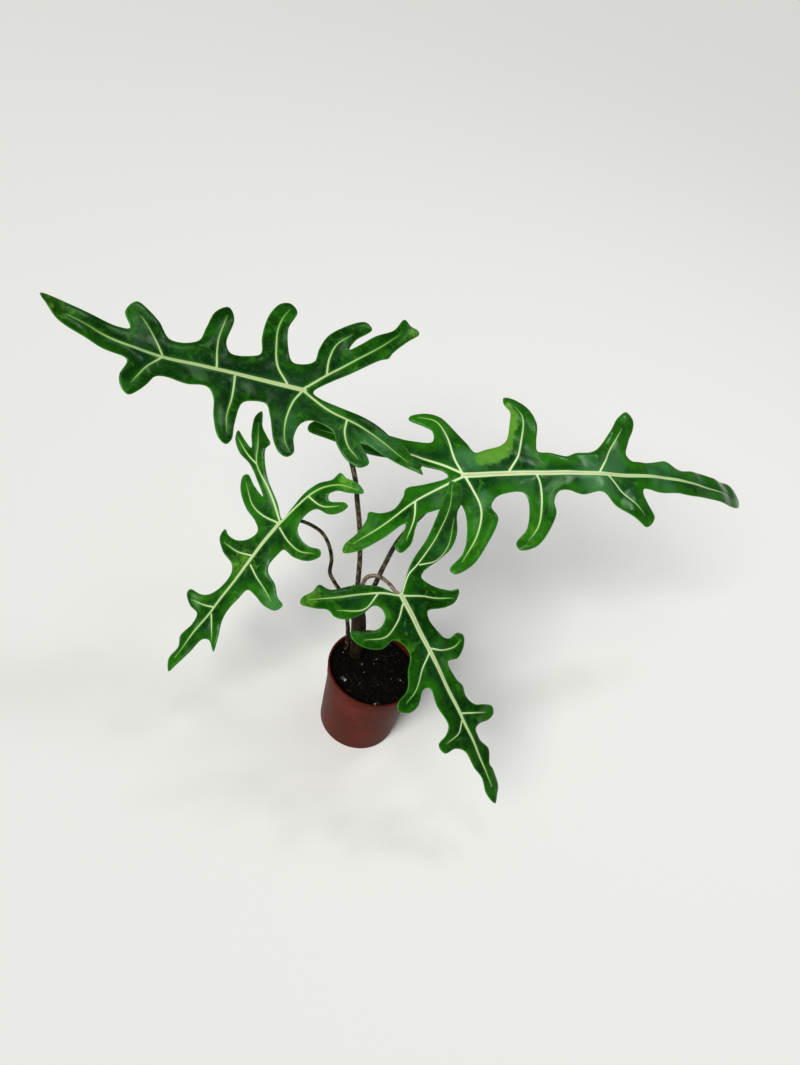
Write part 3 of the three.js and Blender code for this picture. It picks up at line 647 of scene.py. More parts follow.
def leaf_face():
    """Living leaf under a waxy cuticle: deep green, bluer and darker away from its margins, yellow-green in
    its pale patches and grey-green where a sheen is painted on, with cream-green ribs that fade at their
    ends."""
    material, tree = new_material("waxy_leaf_face")
    stored = {name: add(tree, "Attribute", attribute_name=name).outputs["Fac"] for name in LEAF_VALUES}
    place = add(tree, "TexCoord").outputs["Object"]
    cloud = add(tree, "TexNoise", {"Vector": place, "Scale": 1 / (21 * MM), "Detail": 3, "Roughness": 0.55})
    mottle = add(tree, "TexNoise", {"Vector": place, "Scale": 1 / (4.5 * MM), "Detail": 3, "Distortion": 0.6})
    fleck = add(tree, "TexNoise", {"Vector": place, "Scale": 1 / (13 * MM), "Detail": 2, "Distortion": 0.8})
    aged = add(tree, "Math", {0: cloud, 1: stored["tone"]}, operation="ADD")
    # The share of painted sheen: cloud noise over the leaf's patches of painted highlight.
    painted_sheen_share = add(tree, "Math", {0: cloud, 1: 0.8, 2: stored["painted_sheen"]}, operation="MULTIPLY_ADD")
    faded = add(tree, "Math", {0: mottle, 1: 0.7, 2: stored["pale"]}, operation="MULTIPLY_ADD")
    side_veins = add(tree, "Math", {0: stored["vein"]}, operation="SINE")
    lobes = layered(tree, paint("#062e01"), [(aged, 0.26, 0.72, 0, 1, paint("#226408"))])
    centre = layered(tree, paint("#03210a"), [(aged, 0.26, 0.72, 0, 1, paint("#0c3c16"))])
    body = layered(tree, lobes, [
        (stored["edge"], 4, 13, 0, 0.9, centre),
        (mottle, 0.5, 0.75, 0, 0.22, paint("#37801a")),
        (fleck, 0.56, 0.74, 0, 0.42, paint("#3f8420")),
        (stored["edge"], 0.1, 1.5, 0.5, 0, paint("#3d8a2c")),
        # Painted sheen: grey-green laid over those patches as a painted highlight in place of the wax's
        # shine.
        (painted_sheen_share, 0.65, 1.2, 0, 0.65, paint("#437a49")),
        (faded, 0.72, 1.1, 0, 0.9, paint("#589028")),
        (side_veins, 0.8, 1, 0, 0.06, paint("#4f9a2c")),
        (stored["gap"], 0.1, 2.2, 0.4, 0, paint("#357a20")),
    ])
    rib_base, rib_end = (add(tree, "Mix", {0: stored["cream"], 6: paint(dull), 7: paint(cream)},
                             data_type="RGBA")
                         for dull, cream in (("#aac482", "#cbe0aa"), ("#74a548", "#93bd65")))
    rib = add(tree, "Mix", {0: stored["fade"], 6: rib_base, 7: rib_end}, data_type="RGBA")
    rib = add(tree, "Mix", {0: stored["channel"], 6: rib, 7: paint("#b3b48a")}, data_type="RGBA")
    colour = layered(tree, body, [(stored["rib"], 0.8, 1.15, 1, 0, rib)])
    fine = add(tree, "Math", {0: side_veins, 1: 0.04, 2: mottle}, operation="MULTIPLY_ADD")
    gloss = add(tree, "Math", {0: cloud, 1: 0.12, 2: stored["matt"]}, operation="MULTIPLY_ADD")
    return finished(material, colour, gloss, fine, 0.06, 0.6, {
        "IOR": 1.45, "Specular IOR Level": 0.3, "Specular Tint": paint("#bfe8bd"),
    })


def leaf_back():
    """The leaf's matt underside: a duller, greyer green with raised pale ribs."""
    material, tree = new_material("matt_leaf_underside")
    rib, gap = (add(tree, "Attribute", attribute_name=name).outputs["Fac"] for name in ("rib", "gap"))
    place = add(tree, "TexCoord").outputs["Object"]
    cloud = add(tree, "TexNoise", {"Vector": place, "Scale": 1 / (18 * MM), "Detail": 4})
    grain = add(tree, "TexNoise", {"Vector": place, "Scale": 1 / (0.9 * MM), "Detail": 2})
    colour = layered(tree, paint("#2f5f35"), [
        (cloud, 0.2, 0.8, 0, 1, paint("#5a8a55")),
        (gap, 0.2, 3.5, 0.4, 0, paint("#7fa564")),
        (rib, 0.85, 1.15, 1, 0, paint("#a9bd80")),
    ])
    return finished(material, colour, 0.62, grain, 0.1, 0.6, {"IOR": 1.42})


def stalk_skin():
    """A smooth fleshy stalk in tan, with the dark snakeskin blotches that run along it."""
    material, tree = new_material("mottled_stalk_skin")
    skin_place = add(tree, "Attribute", attribute_name="skin").outputs["Vector"]
    light = add(tree, "Attribute", attribute_name="light").outputs["Fac"]
    blotch = add(tree, "TexNoise", {"Vector": skin_place, "Scale": 1 / (2.4 * MM), "Detail": 2,
                                    "Roughness": 0.6, "Distortion": 0.5})
    grey = add(tree, "TexNoise", {"Vector": skin_place, "Scale": 1 / (14 * MM), "Detail": 2})
    ground, dark = (add(tree, "Mix", {0: light, 6: paint(dim), 7: paint(pale)}, data_type="RGBA")
                    for dim, pale in (("#5c5037", "#93846c"), ("#171208", "#5f523f")))
    spread = add(tree, "Math", {0: grey, 1: 0.35, 2: blotch}, operation="MULTIPLY_ADD")
    colour = layered(tree, ground, [(spread, 0.66, 0.74, 1, 0, dark)])
    return finished(material, colour, 0.46, blotch, 0.15, 0.5, {"Specular IOR Level": 0.2})


def old_sheath():
    """Dead leaf sheaths pressed into a trunk: dark brown and fibrous, with paler dry edges."""
    material, tree = new_material("dry_fibrous_sheath")
    skin_place = add(tree, "Attribute", attribute_name="skin").outputs["Vector"]
    light = add(tree, "Attribute", attribute_name="light").outputs["Fac"]
    fibre_place = add(tree, "Mapping", {"Vector": skin_place, "Scale": (1, 1, 0.12)})
    fibre = add(tree, "TexNoise", {"Vector": fibre_place, "Scale": 1 / (0.8 * MM), "Detail": 3})
    stain = add(tree, "TexNoise", {"Vector": skin_place, "Scale": 1 / (7 * MM), "Detail": 3})
    ground = layered(tree, paint("#0d0903"), [
        (stain, 0.2, 0.8, 0, 1, paint("#281e10")),
        (fibre, 0.5, 0.75, 0, 0.5, paint("#4b3d28")),
    ])
    colour = add(tree, "Mix", {0: light, 6: ground, 7: paint("#85745a")}, data_type="RGBA")
    return finished(material, colour, 0.68, fibre, 0.3, 0.8, {"Specular IOR Level": 0.12})


def moulded_pot():
    """Injection-moulded polypropylene in a terracotta brown: satin, with a film of dust and fine scuffs."""
    material, tree = new_material("moulded_polypropylene")
    place = add(tree, "TexCoord").outputs["Object"]
    wash = add(tree, "TexNoise", {"Vector": place, "Scale": 1 / (34 * MM), "Detail": 4, "Roughness": 0.6})
    scuff_place = add(tree, "Mapping", {"Vector": place, "Scale": (1, 1, 0.2)})
    scuff = add(tree, "TexNoise", {"Vector": scuff_place, "Scale": 1 / (1.2 * MM), "Detail": 2})
    peel = add(tree, "TexNoise", {"Vector": place, "Scale": 1 / (0.7 * MM), "Detail": 1})
    colour = layered(tree, paint("#3f1207"), [
        (wash, 0.2, 0.8, 0, 1, paint("#571e11")),
        (wash, 0.5, 0.72, 0, 0.1, paint("#7d4534")),
        (scuff, 0.6, 0.75, 0, 0.14, paint("#8a5c4b")),
    ])
    gloss = add(tree, "MapRange", {"Value": wash, "From Min": 0.3, "From Max": 0.7,
                                   "To Min": 0.38, "To Max": 0.56})
    return finished(material, colour, gloss, peel, 0.03, 0.6, {"IOR": 1.49, "Specular IOR Level": 0.06})


def crumbly(name, dark, light, grain, rough):
    """A rough matt mineral or plant crumb in two tones: peat, perlite, bark or coir, by its colours."""
    material, tree = new_material(name)
    place = add(tree, "TexCoord").outputs["Object"]
    patch = add(tree, "TexNoise", {"Vector": place, "Scale": 1 / (grain * 4 * MM), "Detail": 5,
                                   "Roughness": 0.7})
    fine = add(tree, "TexNoise", {"Vector": place, "Scale": 1 / (grain * MM), "Detail": 3})
    tone = add(tree, "Math", {0: patch, 1: fine}, operation="ADD")
    colour = layered(tree, paint(dark), [(tone, 0.75, 1.3, 0, 1, paint(light))])
    return finished(material, colour, rough, fine, 0.5 * grain, 0.9, {"Specular IOR Level": 0.06})


def matt_floor():
    """A pale matt studio floor."""
    material, tree = new_material("matt_studio_floor")
    skin = add(tree, "BsdfPrincipled", {"Base Color": paint("#f2f2f0"), "Roughness": 0.85})
    add(tree, "OutputMaterial", {"Surface": skin})
    return material


# Blades

def leaf_frame(leaf):
    """The leaf's joint, its directions along, left and up, and its length from joint to tip."""
    joint = np.array(leaf["joint"], float)
    reach = np.array(leaf["tip"], float) - joint
    along = unit(reach)
    roll = np.array(Matrix.Rotation(math.radians(leaf["roll"]), 3, Vector(along)))
    left = roll @ unit(np.cross([0, 0, 1], along))
    return joint, along, left, np.cross(along, left), np.linalg.norm(reach)


def blade_middle(leaf, pattern):
    """The middle of the blade's thickness at each place of the pattern."""
    joint, along, left, up, length = leaf_frame(leaf)
    x, y = (pattern * leaf["size"]).T
    s = x / length
    bow = 4 * leaf["arch"] * np.where(s > 0, s * (1 - s), s)
    out = smoothstep(np.hypot(x, y), 14, 45) * smoothstep(np.abs(y), 2, 18)
    wave = BLADE["ruffle"] * out * np.sin(2 * math.pi * (x + 0.6 * np.abs(y)) / BLADE["ruffle_length"])
    height = bow - leaf["cup"] * y**2 + wave
    points = joint + np.outer(x, along) + np.outer(y, left) + np.outer(height, up)
    if "lift" in leaf:
        lift = leaf["lift"]
        reach = np.maximum(0, pattern @ lift["along"] - lift["from"]) / lift["over"]
        points += np.outer(reach ** lift["power"], lift["by"])
    return points


def blade_normals(leaf, pattern):
    forward, sideways = (blade_middle(leaf, pattern + step) - blade_middle(leaf, pattern - step)
                         for step in np.eye(2))
    return unit(np.cross(forward, sideways))


def rib_half_width(leaf, run, length, number):
    """Half a rib's width, in the pattern's millimetres, at a distance along it. Number 0 is the midrib, and
    of the others a longer one is thicker, unless the leaf's "slim" names a share of that."""
    t = run / length
    if number == 0:
        base, slim = leaf["midrib_width"], 1 - 0.68 * t
    else:
        base = (BLADE["rib_width"] + 0.0055 * length) * leaf.get("slim", {}).get(number, 1)
        slim = 1 - 0.5 * t
    return base / 2 * slim * (1 - 0.7 * smoothstep(t, 0.8, 1))


def strip_points(leaf, line, number):
    """Rows of points on both flanks and edges of a rib and just beside it, to carry its raised form."""
    run = run_lengths(line)
    half = rib_half_width(leaf, run, run[-1], number)
    ways = unit(np.gradient(line, axis=0))
    sides = np.stack([-ways[:, 1], ways[:, 0]], axis=1)
    return np.vstack([line + sides * (half * share)[:, None] for share in (-1, 1, -0.55, 0.55, -1.6, 1.6)])


def blade_net(leaf):
    """The pattern cut into triangles, with rows of points on its outline and its ribs."""
    outline = smooth_curve(leaf["outline"], BLADE["edge_step"], closed=True)
    ribs = [smooth_curve(line, BLADE["rib_step"]) for line in [leaf["midrib"], *leaf["ribs"]]]
    fixed = np.vstack([outline, *ribs])
    strips = np.vstack([strip_points(leaf, line, number) for number, line in enumerate(ribs)])
    strips = thin_out(strips, 0.3, fixed)
    step = BLADE["fill_step"]
    low, high = outline.min(0), outline.max(0)
    grid = [(x + (row % 2) * step / 2, low[1] + row * step * math.sqrt(0.75))
            for row in range(int((high[1] - low[1]) / step / math.sqrt(0.75)) + 1)
            for x in np.arange(low[0], high[0], step)]
    grid = thin_out(np.array(grid), 0.6 * step, np.vstack([fixed, strips]))
    inner = np.vstack([strips, grid])
    inner = inner[is_inside(inner, outline)]
    inner = inner[nearest(inner, outline, closed=True)[0] > 0.35]
    count = len(outline)
    edges = [(i, (i + 1) % count) for i in range(count)]
    for line in ribs:
        edges += [(i, i + 1) for i in range(count, count + len(line) - 1)]
        count += len(line)
    net = delaunay_2d_cdt([Vector(p) for p in np.vstack([fixed, inner])], edges, [], 0, 1e-5)
    corners = np.array([tuple(p) for p in net[0]])
    triangles = np.array([tuple(face) for face in net[2]])
    triangles = triangles[is_inside(corners[triangles].mean(1), outline)]
    used, flat = np.unique(triangles, return_inverse=True)
    return outline, ribs, corners[used], flat.reshape(-1, 3)


def rib_values(leaf, ribs, corners):
    """For each corner: its distance from the nearest rib's edge, that from its middle in half widths, and
    what the rib is like there."""
    closest = {name: np.full(len(corners), np.inf) for name in ("gap", "rib")}
    values = {name: np.zeros(len(corners)) for name in ("fade", "along", "half", "depth", "channel")}
    for number, line in enumerate(ribs):
        distance, run = nearest(corners, line)
        length = run_lengths(line)[-1]
        t = run / length
        half = rib_half_width(leaf, run, length, number)
        wins = distance / half < closest["rib"]
        closest["rib"][wins] = (distance / half)[wins]
        closest["gap"] = np.minimum(closest["gap"], np.maximum(distance - half, 0))
        values["channel"][wins] = (number == 0) * (1 - smoothstep(t, 0.3, 0.8))[wins]
        values["fade"][wins] = smoothstep(t, 0.15, 1)[wins] * (0.55 if number == 0 else 1)
        values["along"][wins] = run[wins]
        values["half"][wins] = half[wins]
        values["depth"] = np.maximum(values["depth"], (0.9 if number == 0 else 0.6) * np.exp(-distance / 4))
    values["channel"] *= np.exp(-(closest["rib"] / 0.35) ** 2)
    return {**closest, **values}


def patches(leaf, name, corners):
    """How strongly a leaf's named patches colour each corner, from 0 to 1."""
    left = np.ones(len(corners))
    for x, y, radius, strength in leaf[name]:
        distance = np.hypot(corners[:, 0] - x, corners[:, 1] - y)
        left *= 1 - strength * (1 - smoothstep(distance, 0.2 * radius, 1.3 * radius))
    return 1 - left


def relief(values, corners, seed):
    """How far the blade's middle stands up at each corner from its plain bowed form."""
    swell = np.array([noise.noise(Vector((x, y, seed))) for x, y in corners / BLADE["swell_length"]])
    quilt = np.sin(2 * math.pi * (values["along"] + 0.7 * values["gap"]) / BLADE["quilt_length"])
    quilt *= smoothstep(values["gap"], 1, 6)
    droop = np.exp(-values["edge"] / BLADE["droop_reach"])
    return (BLADE["swell"] * swell + BLADE["quilt"] * quilt - values["depth"]
            - BLADE["channel"] * values["channel"] - BLADE["droop"] * droop)


def blade(letter, materials):
    leaf = LEAVES[letter]
    outline, ribs, corners, triangles = blade_net(leaf)
    values = rib_values(leaf, ribs, corners)
    values["edge"] = nearest(corners, outline, closed=True)[0]
    values["vein"] = 2 * math.pi * (values["along"] + 0.8 * values["gap"]) / BLADE["vein_spacing"]
    # The pale patches, and the patches of painted sheen, a painted highlight that stands in for the wax's
    # shine.
    for name in ("pale", "painted_sheen"):
        values[name] = patches(leaf, name, corners)
    for name in ("tone", "cream", "matt"):
        values[name] = np.full(len(corners), leaf[name])
    middle, normals = blade_middle(leaf, corners), blade_normals(leaf, corners)
    height = relief(values, corners, ord(letter))
    raised = values["half"] * np.sqrt(1 - np.minimum(values["rib"], 1) ** 2)
    thick = BLADE["half_thickness"] * (0.45 + 0.55 * smoothstep(values["edge"], 0, 1.5))
    top = middle + normals * (height + thick + BLADE["rib_above"] * raised)[:, None]
    bottom = middle + normals * (height - thick - BLADE["rib_below"] * raised)[:, None]
    faces = shell_faces(triangles.tolist(), len(corners))
    points = np.vstack([top, bottom])
    piece = new_piece("leaf_" + letter, points, faces, materials, "blade", "blade_" + letter)
    under = np.zeros(len(faces), np.int32)
    under[len(triangles):2 * len(triangles)] = 1
    piece.data.polygons.foreach_set("material_index", under)
    set_values(piece, **{name: np.tile(values[name], 2) for name in LEAF_VALUES})


# Stalks and trunk

def at_mouth(right, back, above):
    """A point by the trunk's open top: to the right of its middle, behind it, and above its rim."""
    foot, top = (np.array(p, float) for p in TRUNK["path"][-2:])
    way = unit(top - foot)
    behind = np.array([0, 1, 0])
    return top + right * np.cross(behind, way) + back * behind + above * way


def wrap_skin(piece, path, radius, sides, light):
    """Gives a tube's points their places on its skin, which is stretched along it, and one lightness for
    the whole tube or one for each ring."""
    places = np.vstack([ring(radius, 0.5 * run, sides) for run in run_lengths(path)])
    set_skin(piece, places, np.repeat(np.broadcast_to(light, len(path)), sides))


def stalk_path(letter):
    """The middle of a stalk, from its hidden foot to the underside of its blade and on under the midrib."""
    own, leaf = STALKS[letter], LEAVES[letter]
    foot = [at_mouth(*own["seat"], above) for above in STALK["in_mouth"]] if "seat" in own else []
    on, below = np.array(STALK["under_blade"]).T
    places = np.stack([on, 0 * on], axis=1)
    under = blade_middle(leaf, places) - blade_normals(leaf, places) * below[:, None]
    return smooth_curve([*foot, *own["path"], *under], STALK["step"])


def stalk(letter, material):
    own, sides, narrow = STALKS[letter], STALK["sides"], STALK["taper_from"]
    path = stalk_path(letter)
    run = run_lengths(path)
    share = run / run[-1]
    radii = np.interp(share, np.linspace(0, narrow, len(own["radii"])), own["radii"])
    radii = radii * (1 - STALK["tip_share"] * smoothstep(share, narrow, 1))
    bumps = [noise.noise(Vector((distance, ord(letter), 0))) for distance in run / STALK["uneven_length"]]
    points, faces = tube(path, radii * (1 + STALK["uneven"] * np.array(bumps)), sides)
    piece = new_piece("stalk_" + letter, points, faces, [material], "stalk", "petiole_" + letter)
    light = own["light"] + (STALK["tip_light"] - own["light"]) * smoothstep(share, *STALK["light_change"])
    wrap_skin(piece, path, radii.mean(), sides, light)


def trunk(material):
    """The trunk: rings left by old leaves, and flutes where the sheaths lie over each other."""
    sides = TRUNK["sides"]
    path = smooth_curve(TRUNK["path"], 0.7)
    run = run_lengths(path)
    radii = np.interp(run / run[-1], np.linspace(0, 1, len(TRUNK["radii"])), TRUNK["radii"])
    turns = turns_round(sides)
    rings = []
    for distance, radius in zip(run, radii):
        slant = distance + TRUNK["scar_slant"] * np.sin(turns + TRUNK["scar_turn"])
        step = TRUNK["scar_step"] * (1 - (slant / TRUNK["scar_spacing"]) % 1)
        flutes = [deep * np.sin(count * turns + distance / twist) for count, deep, twist in TRUNK["flutes"]]
        rings.append(radius - TRUNK["sunk"] + step + sum(flutes))
    rings[-1] = rings[-1] * TRUNK["top_share"]
    points, faces = tube(path, rings, sides)
    piece = new_piece("trunk", points, faces, [material], "stalk", "stem")
    wrap_skin(piece, path, radii.mean(), sides, 0.0)


def sheath(name, material):
    """A thin curved flap of old leaf sheath that wraps part of the way round a path, with a slanting top."""
    on, angle, width, (foot, first_top, last_top), radius, light = SHEATHS[name]
    rows, columns = SHEATH["rows"], SHEATH["columns"]
    path = TRUNK["path"] if on == "trunk" else stalk_path(on)[FIRST_ABOVE_MOUTH:]
    path = smooth_curve(path, SHEATH["step"])
    run = run_lengths(path)
    up = np.repeat(np.arange(rows + 1) / rows, columns + 1)
    across = np.tile(np.arange(columns + 1) / columns, rows + 1)
    top = first_top + (last_top - first_top) * across + SHEATH["worn"] * np.sin(9 * across + angle)
    distance = foot + (top - foot) * up
    centre, way = (np.stack([np.interp(distance, run, line[:, axis]) for axis in range(3)], axis=1)
                   for line in (path, unit(np.gradient(path, axis=0))))
    level = unit(np.cross([0, 1, 0], way))
    turn = (angle + (across - 0.5) * width * (1 - 0.5 * up**2))[:, None]
    out = np.cos(turn) * level + np.sin(turn) * np.cross(way, level)
    flare = (radius + SHEATH["flare"] * up**3 + SHEATH["ripple"] * np.sin(20 * across))[:, None]
    points = np.vstack([centre + out * (flare + SHEATH["wall"]), centre + out * flare])
    starts = [i * (columns + 1) + k for i in range(rows) for k in range(columns)]
    sheet = [[a, a + 1, a + columns + 2, a + columns + 1] for a in starts]
    piece = new_piece(name, points, shell_faces(sheet, len(up)), [material], "stalk")
    set_skin(piece, points, light)


# Pot and soil

def rounded(before, at, after, radius, steps=4):
    """A corner of a profile rounded off as a short curve of points."""
    before, at, after = (np.array(p, float) for p in (before, at, after))
    start, end = at + unit(before - at) * radius, at + unit(after - at) * radius
    t = np.linspace(0, 1, steps + 1)[:, None]
    return ((1 - t) ** 2 * start + 2 * t * (1 - t) * at + t**2 * end).tolist()


def body_radius(z):
    share = min(z / (POT["height"] - POT["collar_height"]), 1)
    return POT["base_radius"] + (POT["shoulder_radius"] - POT["base_radius"]) * share


def pot_profile():
    """The pot's wall in section, from the middle of its underside out, up, over the lip and down inside.
    Each sharp corner has the radius that rounds it."""
    top, rim, inside = POT["height"], POT["rim_radius"], POT["shoulder_radius"]
    collar_foot = top - POT["collar_height"]
    lip_foot = top - POT["lip_height"]
    ledge = collar_foot - POT["ledge_drop"]
    sharp = [
        ([0, 0], 0), ([20, 0.0], 0), ([POT["base_radius"], 0], 1.2), ([inside, collar_foot - 0.9], 0.5),
        ([POT["collar_radius"], collar_foot - 0.3], 0.6), ([POT["collar_radius"], lip_foot], 0.25),
        ([rim, lip_foot - 0.1], 0.5), ([rim, top], 0.85), ([inside + 0.2, top], 0.7),
        ([inside, ledge + POT["ledge"]], 0.4), ([inside - POT["wall"], ledge], 0.4),
        ([body_radius(POT["floor"]) - POT["wall"], POT["floor"]], 1.0), ([0, POT["floor"]], 0),
    ]
    profile = []
    for number, (at, radius) in enumerate(sharp):
        if radius:
            profile += rounded(sharp[number - 1][0], at, sharp[number + 1][0], radius)
        else:
            profile.append(at)
    return profile


def drain_cutter():
    """Upright pegs in a circle, from under the pot's floor to above it, which cut it through."""
    pegs = []
    for x, y, _ in ring(POT["drain_circle"], 0, POT["drain_holes"]):
        path = [[x, y, z] for z in (-3, 0, 5)]
        pegs.append(tube(path, [POT["drain_radius"]] * len(path), POT["drain_sides"]))
    return new_object("drain_cutter", new_mesh("drain_cutter", *joined(pegs)))


def pot(material):
    profile = pot_profile()
    rings = [ring(radius, z, POT["sides"]) for radius, z in profile[1:-1]]
    points, faces = round_solid([0, 0, profile[0][1]], rings, [0, 0, profile[-1][1]])
    piece = new_piece("pot_shell", points, faces, [material], "pot", "pot")
    cutter = drain_cutter()
    cut = piece.modifiers.new("drain_holes", "BOOLEAN")
    cut.operation = "DIFFERENCE"
    cut.object = cutter
    cut.solver = "EXACT"
    bpy.context.view_layer.update()
    shape = piece.evaluated_get(bpy.context.evaluated_depsgraph_get())
    piece.data = bpy.data.meshes.new_from_object(shape)
    piece.modifiers.clear()
    bpy.data.objects.remove(cutter)
    piece.data.shade_smooth()
    piece.data.set_sharp_from_angle(angle=math.radians(40))


def soil_height(x, y):
    """The height of the soil's crumbly surface, in millimetres."""
    share = min(math.hypot(x, y) / SOIL["edge"], 1)
    height = SOIL["level"] + SOIL["dome"] * (1 - share**2)
    for across, rise, seed in SOIL["lumps"]:
        height += rise * noise.noise(Vector((x / across, y / across, seed)))
    return height


def soil(material):
    """The filling: a crumbly top, sides just inside the pot, and a flat bottom."""
    count, sectors, edge, gap = SOIL["rings"], SOIL["sectors"], SOIL["edge"], SOIL["gap"]
    rings = [ring(edge * i / count, 0, sectors) for i in range(1, count + 1)]
    for level in rings:
        level[:, 2] = [soil_height(x, y) for x, y, _ in level]
    ledge = POT["height"] - POT["collar_height"] - POT["ledge_drop"]
    bottom = POT["floor"] + gap
    lower = [(edge, ledge + POT["ledge"] + gap), (edge - POT["wall"], ledge + gap),
             (body_radius(bottom) - POT["wall"] - gap, bottom)]
    rings += [ring(radius, z, sectors) for radius, z in lower]
    points, faces = round_solid([0, 0, soil_height(0, 0)], rings, [0, 0, bottom])
    new_piece("potting_soil", points, turned_over(faces), [material], "soil", "soil")


def icosphere(cuts):
    """The points, on a ball of radius 1, and the faces of an icosahedron cut finer."""
    golden = (1 + math.sqrt(5)) / 2
    points = [[-1, golden, 0], [1, golden, 0], [-1, -golden, 0], [1, -golden, 0], [0, -1, golden],
              [0, 1, golden], [0, -1, -golden], [0, 1, -golden], [golden, 0, -1], [golden, 0, 1],
              [-golden, 0, -1], [-golden, 0, 1]]
    points = [unit(np.array(p)) for p in points]
    faces = [[0, 11, 5], [0, 5, 1], [0, 1, 7], [0, 7, 10], [0, 10, 11], [1, 5, 9], [5, 11, 4], [11, 10, 2],
             [10, 7, 6], [7, 1, 8], [3, 9, 4], [3, 4, 2], [3, 2, 6], [3, 6, 8], [3, 8, 9], [4, 9, 5],
             [2, 4, 11], [6, 2, 10], [8, 6, 7], [9, 8, 1]]
    for _ in range(cuts):
        middles, finer = {}, []
        for a, b, c in faces:
            new = []
            for key in (tuple(sorted(pair)) for pair in ((a, b), (b, c), (c, a))):
                if key not in middles:
                    middles[key] = len(points)
                    points.append(unit(points[key[0]] + points[key[1]]))
                new.append(middles[key])
            ab, bc, ca = new
            finer += [[a, ab, ca], [b, bc, ab], [c, ca, bc], [ab, bc, ca]]
        faces = finer
    return np.array(points), faces


def crumb(ball, centre, size, seed, squash):
    """One crumb: a small ball pushed in and out by noise, squashed, and turned by its seed."""
    points, faces = ball
    turned = points @ np.array(Matrix.Rotation(seed * 1.7, 3, "Z") @ Matrix.Rotation(seed * 2.3, 3, "X"))
    push = np.array([1 + 0.45 * noise.noise(Vector(p * 1.6 + seed)) for p in turned])
    shape = turned * push[:, None] * squash * size / 2
    tilt = Matrix.Rotation(seed * 3.1, 3, Vector((math.cos(seed), math.sin(seed), 0.3)))
    return shape @ np.array(tilt) + centre, faces


def stands_clear(x, y, reach):
    """True where a bit on the soil lies inside the pot and outside the trunk and the thin stalk."""
    trunk_x, trunk_y = TRUNK["path"][0][:2]
    thin_x, thin_y = STALKS["c"]["path"][0][:2]
    return (math.hypot(x, y) <= SOIL["edge"] - reach
            and math.hypot(x - trunk_x, y - trunk_y) > TRUNK["radii"][1] + reach + 0.5
            and math.hypot(x - thin_x, y - thin_y) > STALKS["c"]["radii"][0] + reach + 0.5)


def scatter(name, ball):
    """Crumbs of one kind lying on the soil: those listed, then the rest at random."""
    own = CRUMBS[name]
    rng = random.Random(own["seed"])
    places = list(own["placed"])
    while len(places) < len(own["placed"]) + own["count"]:
        radius, turn = SOIL["edge"] * math.sqrt(rng.random()), rng.uniform(0, 2 * math.pi)
        size = rng.uniform(*own["sizes"]) * rng.uniform(0.6, 1)
        if stands_clear(radius * math.cos(turn), radius * math.sin(turn), 0.6 * size):
            places.append((radius * math.cos(turn), radius * math.sin(turn), size))
    parts = []
    for x, y, size in places:
        centre = [x, y, soil_height(x, y) + 0.18 * size]
        parts.append(crumb(ball, centre, size, rng.uniform(0, 40), own["squash"]))
    new_piece(name, *joined(parts), [crumbly(*own["look"])], "soil")


def fibres(name):
    """Fine dry roots and coir lying over the soil in loose curves."""
    rng = random.Random(FIBRES["seed"])
    starts = list(FIBRES["placed"])
    while len(starts) < len(FIBRES["placed"]) + FIBRES["count"]:
        r, turn = FIBRES["circle"] * math.sqrt(rng.random()), rng.uniform(0, 2 * math.pi)
        x, y = r * math.cos(turn), r * math.sin(turn)
        if stands_clear(x, y, 2):
            starts.append((x, y, rng.uniform(0, 2 * math.pi), rng.uniform(*FIBRES["lengths"])))
    parts = []
    for x, y, heading, length in starts:
        path = []
        bend = rng.uniform(-0.08, 0.08)
        for step in range(int(length) + 2):
            if not stands_clear(x, y, 0.8):
                break
            lift = 0.5 + 0.5 * math.sin(step * 0.7 + heading)
            path.append([x, y, soil_height(x, y) + 0.35 + 0.6 * lift])
            x, y = x + math.cos(heading), y + math.sin(heading)
            heading += bend + rng.uniform(-0.15, 0.15)
        if len(path) > 3:
            taper = np.interp(np.arange(len(path)), [0, 1, len(path) - 1], [0.5, 1, 0.4])
            parts.append(tube(path, FIBRES["radius"] * taper, FIBRES["sides"]))
    new_piece(name, *joined(parts), [crumbly(*FIBRES["look"])], "soil")


# Stage, camera and light

def studio_floor():
    corners = np.array([[-1, -1, 0], [1, -1, 0], [1, 1, 0], [-1, 1, 0]]) * FLOOR_REACH / MM
    floor = new_object("studio_floor", new_mesh("studio_floor", corners, [[0, 1, 2, 3]]))
    floor.data.materials.append(matt_floor())


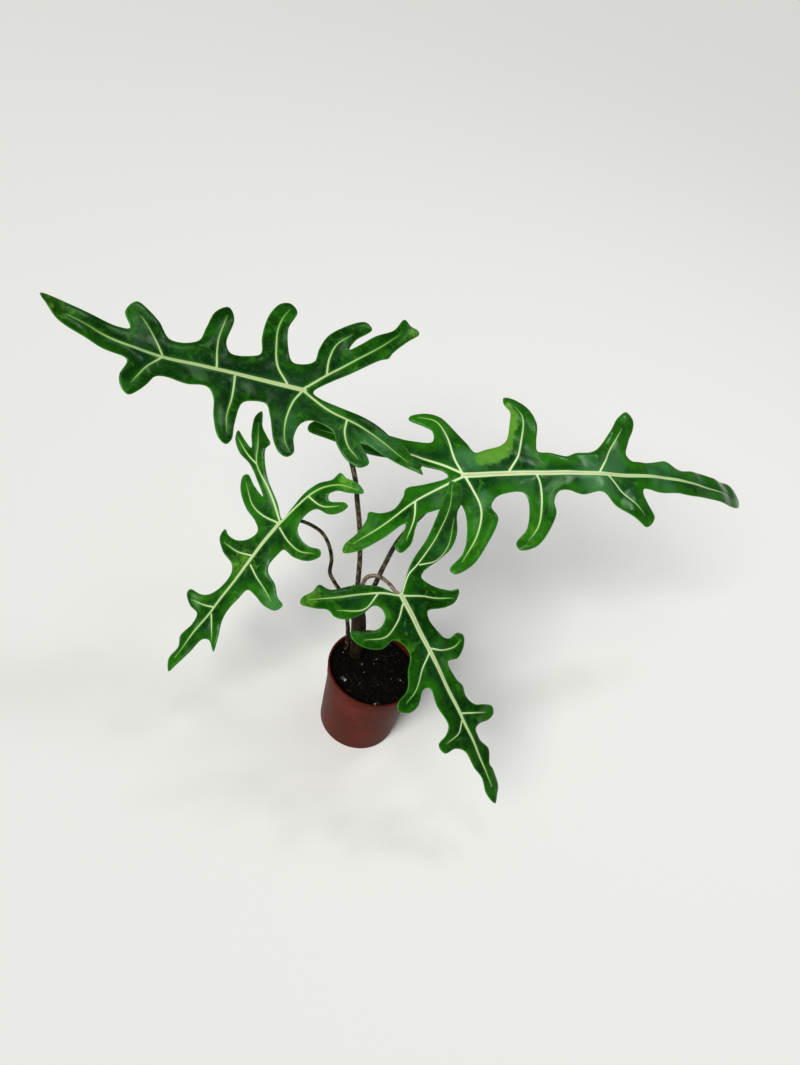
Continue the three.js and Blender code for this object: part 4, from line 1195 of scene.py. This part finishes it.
def pale_room():
    """A pale room all round, which lights the plant less than the camera sees of it."""
    world = bpy.data.worlds.new("pale_room")
    world.use_nodes = True
    tree = world.node_tree
    background = tree.nodes["Background"]
    background.inputs["Color"].default_value = paint(ROOM["colour"])
    seen = add(tree, "LightPath").outputs["Is Camera Ray"]
    strength = add(tree, "MapRange", {"Value": seen, "To Min": ROOM["light"], "To Max": ROOM["seen"]})
    tree.links.new(strength.outputs[0], background.inputs["Strength"])
    bpy.context.scene.world = world
    bpy.context.scene.view_settings.view_transform = "Standard"


def soft_sun():
    lamp = bpy.data.lights.new("soft_key", "SUN")
    lamp.energy = SUN["power"]
    lamp.angle = math.radians(SUN["width"])
    lamp.color = SUN["colour"]
    new_object("soft_key", lamp).rotation_euler = [math.radians(turn) for turn in SUN["turn"]]


def window(name, place, target, size, power):
    """A round window of soft light that faces its target."""
    lamp = bpy.data.lights.new(name, "AREA")
    lamp.shape = "DISK"
    lamp.size = size
    lamp.energy = power
    lamp.color = WINDOW_COLOUR
    thing = new_object(name, lamp)
    thing.location = place
    thing.rotation_euler = (Vector(target) - Vector(place)).to_track_quat("-Z", "Y").to_euler()


def camera():
    """The photo's own view: a phone held above the plant, tilted down and rolled a little."""
    down, roll = math.radians(CAMERA["down"]), math.radians(CAMERA["roll"])
    forward = Vector((0, math.cos(down), -math.sin(down)))
    level = Vector((1, 0, 0))
    upright = level.cross(forward)
    right = math.cos(roll) * level + math.sin(roll) * upright
    up = math.cos(roll) * upright - math.sin(roll) * level
    lens = bpy.data.cameras.new("phone_view")
    lens.sensor_fit = "VERTICAL"
    lens.sensor_height = CAMERA["sensor"]
    lens.lens = CAMERA["lens"]
    lens.clip_start = 0.01
    view = new_object("phone_view", lens)
    turn = Matrix((right, up, -forward)).transposed().to_4x4()
    view.matrix_world = Matrix.Translation(CAMERA["place"]) @ turn
    bpy.context.scene.camera = view


# The plant in its pot

leaf_sides = [leaf_face(), leaf_back()]
for letter in LEAVES:
    blade(letter, leaf_sides)
skin = stalk_skin()
for letter in STALKS:
    stalk(letter, skin)
fibrous = old_sheath()
trunk(fibrous)
for name in SHEATHS:
    sheath(name, fibrous)
pot(moulded_pot())
soil(crumbly("damp_peat", "#030302", "#0f0c09", 1.1, 0.95))
ball = icosphere(1)
for name in CRUMBS:
    scatter(name, ball)
fibres("coir_fibres")

studio_floor()
pale_room()
soft_sun()
for name, lamp in WINDOWS.items():
    window(name, **lamp)
camera()
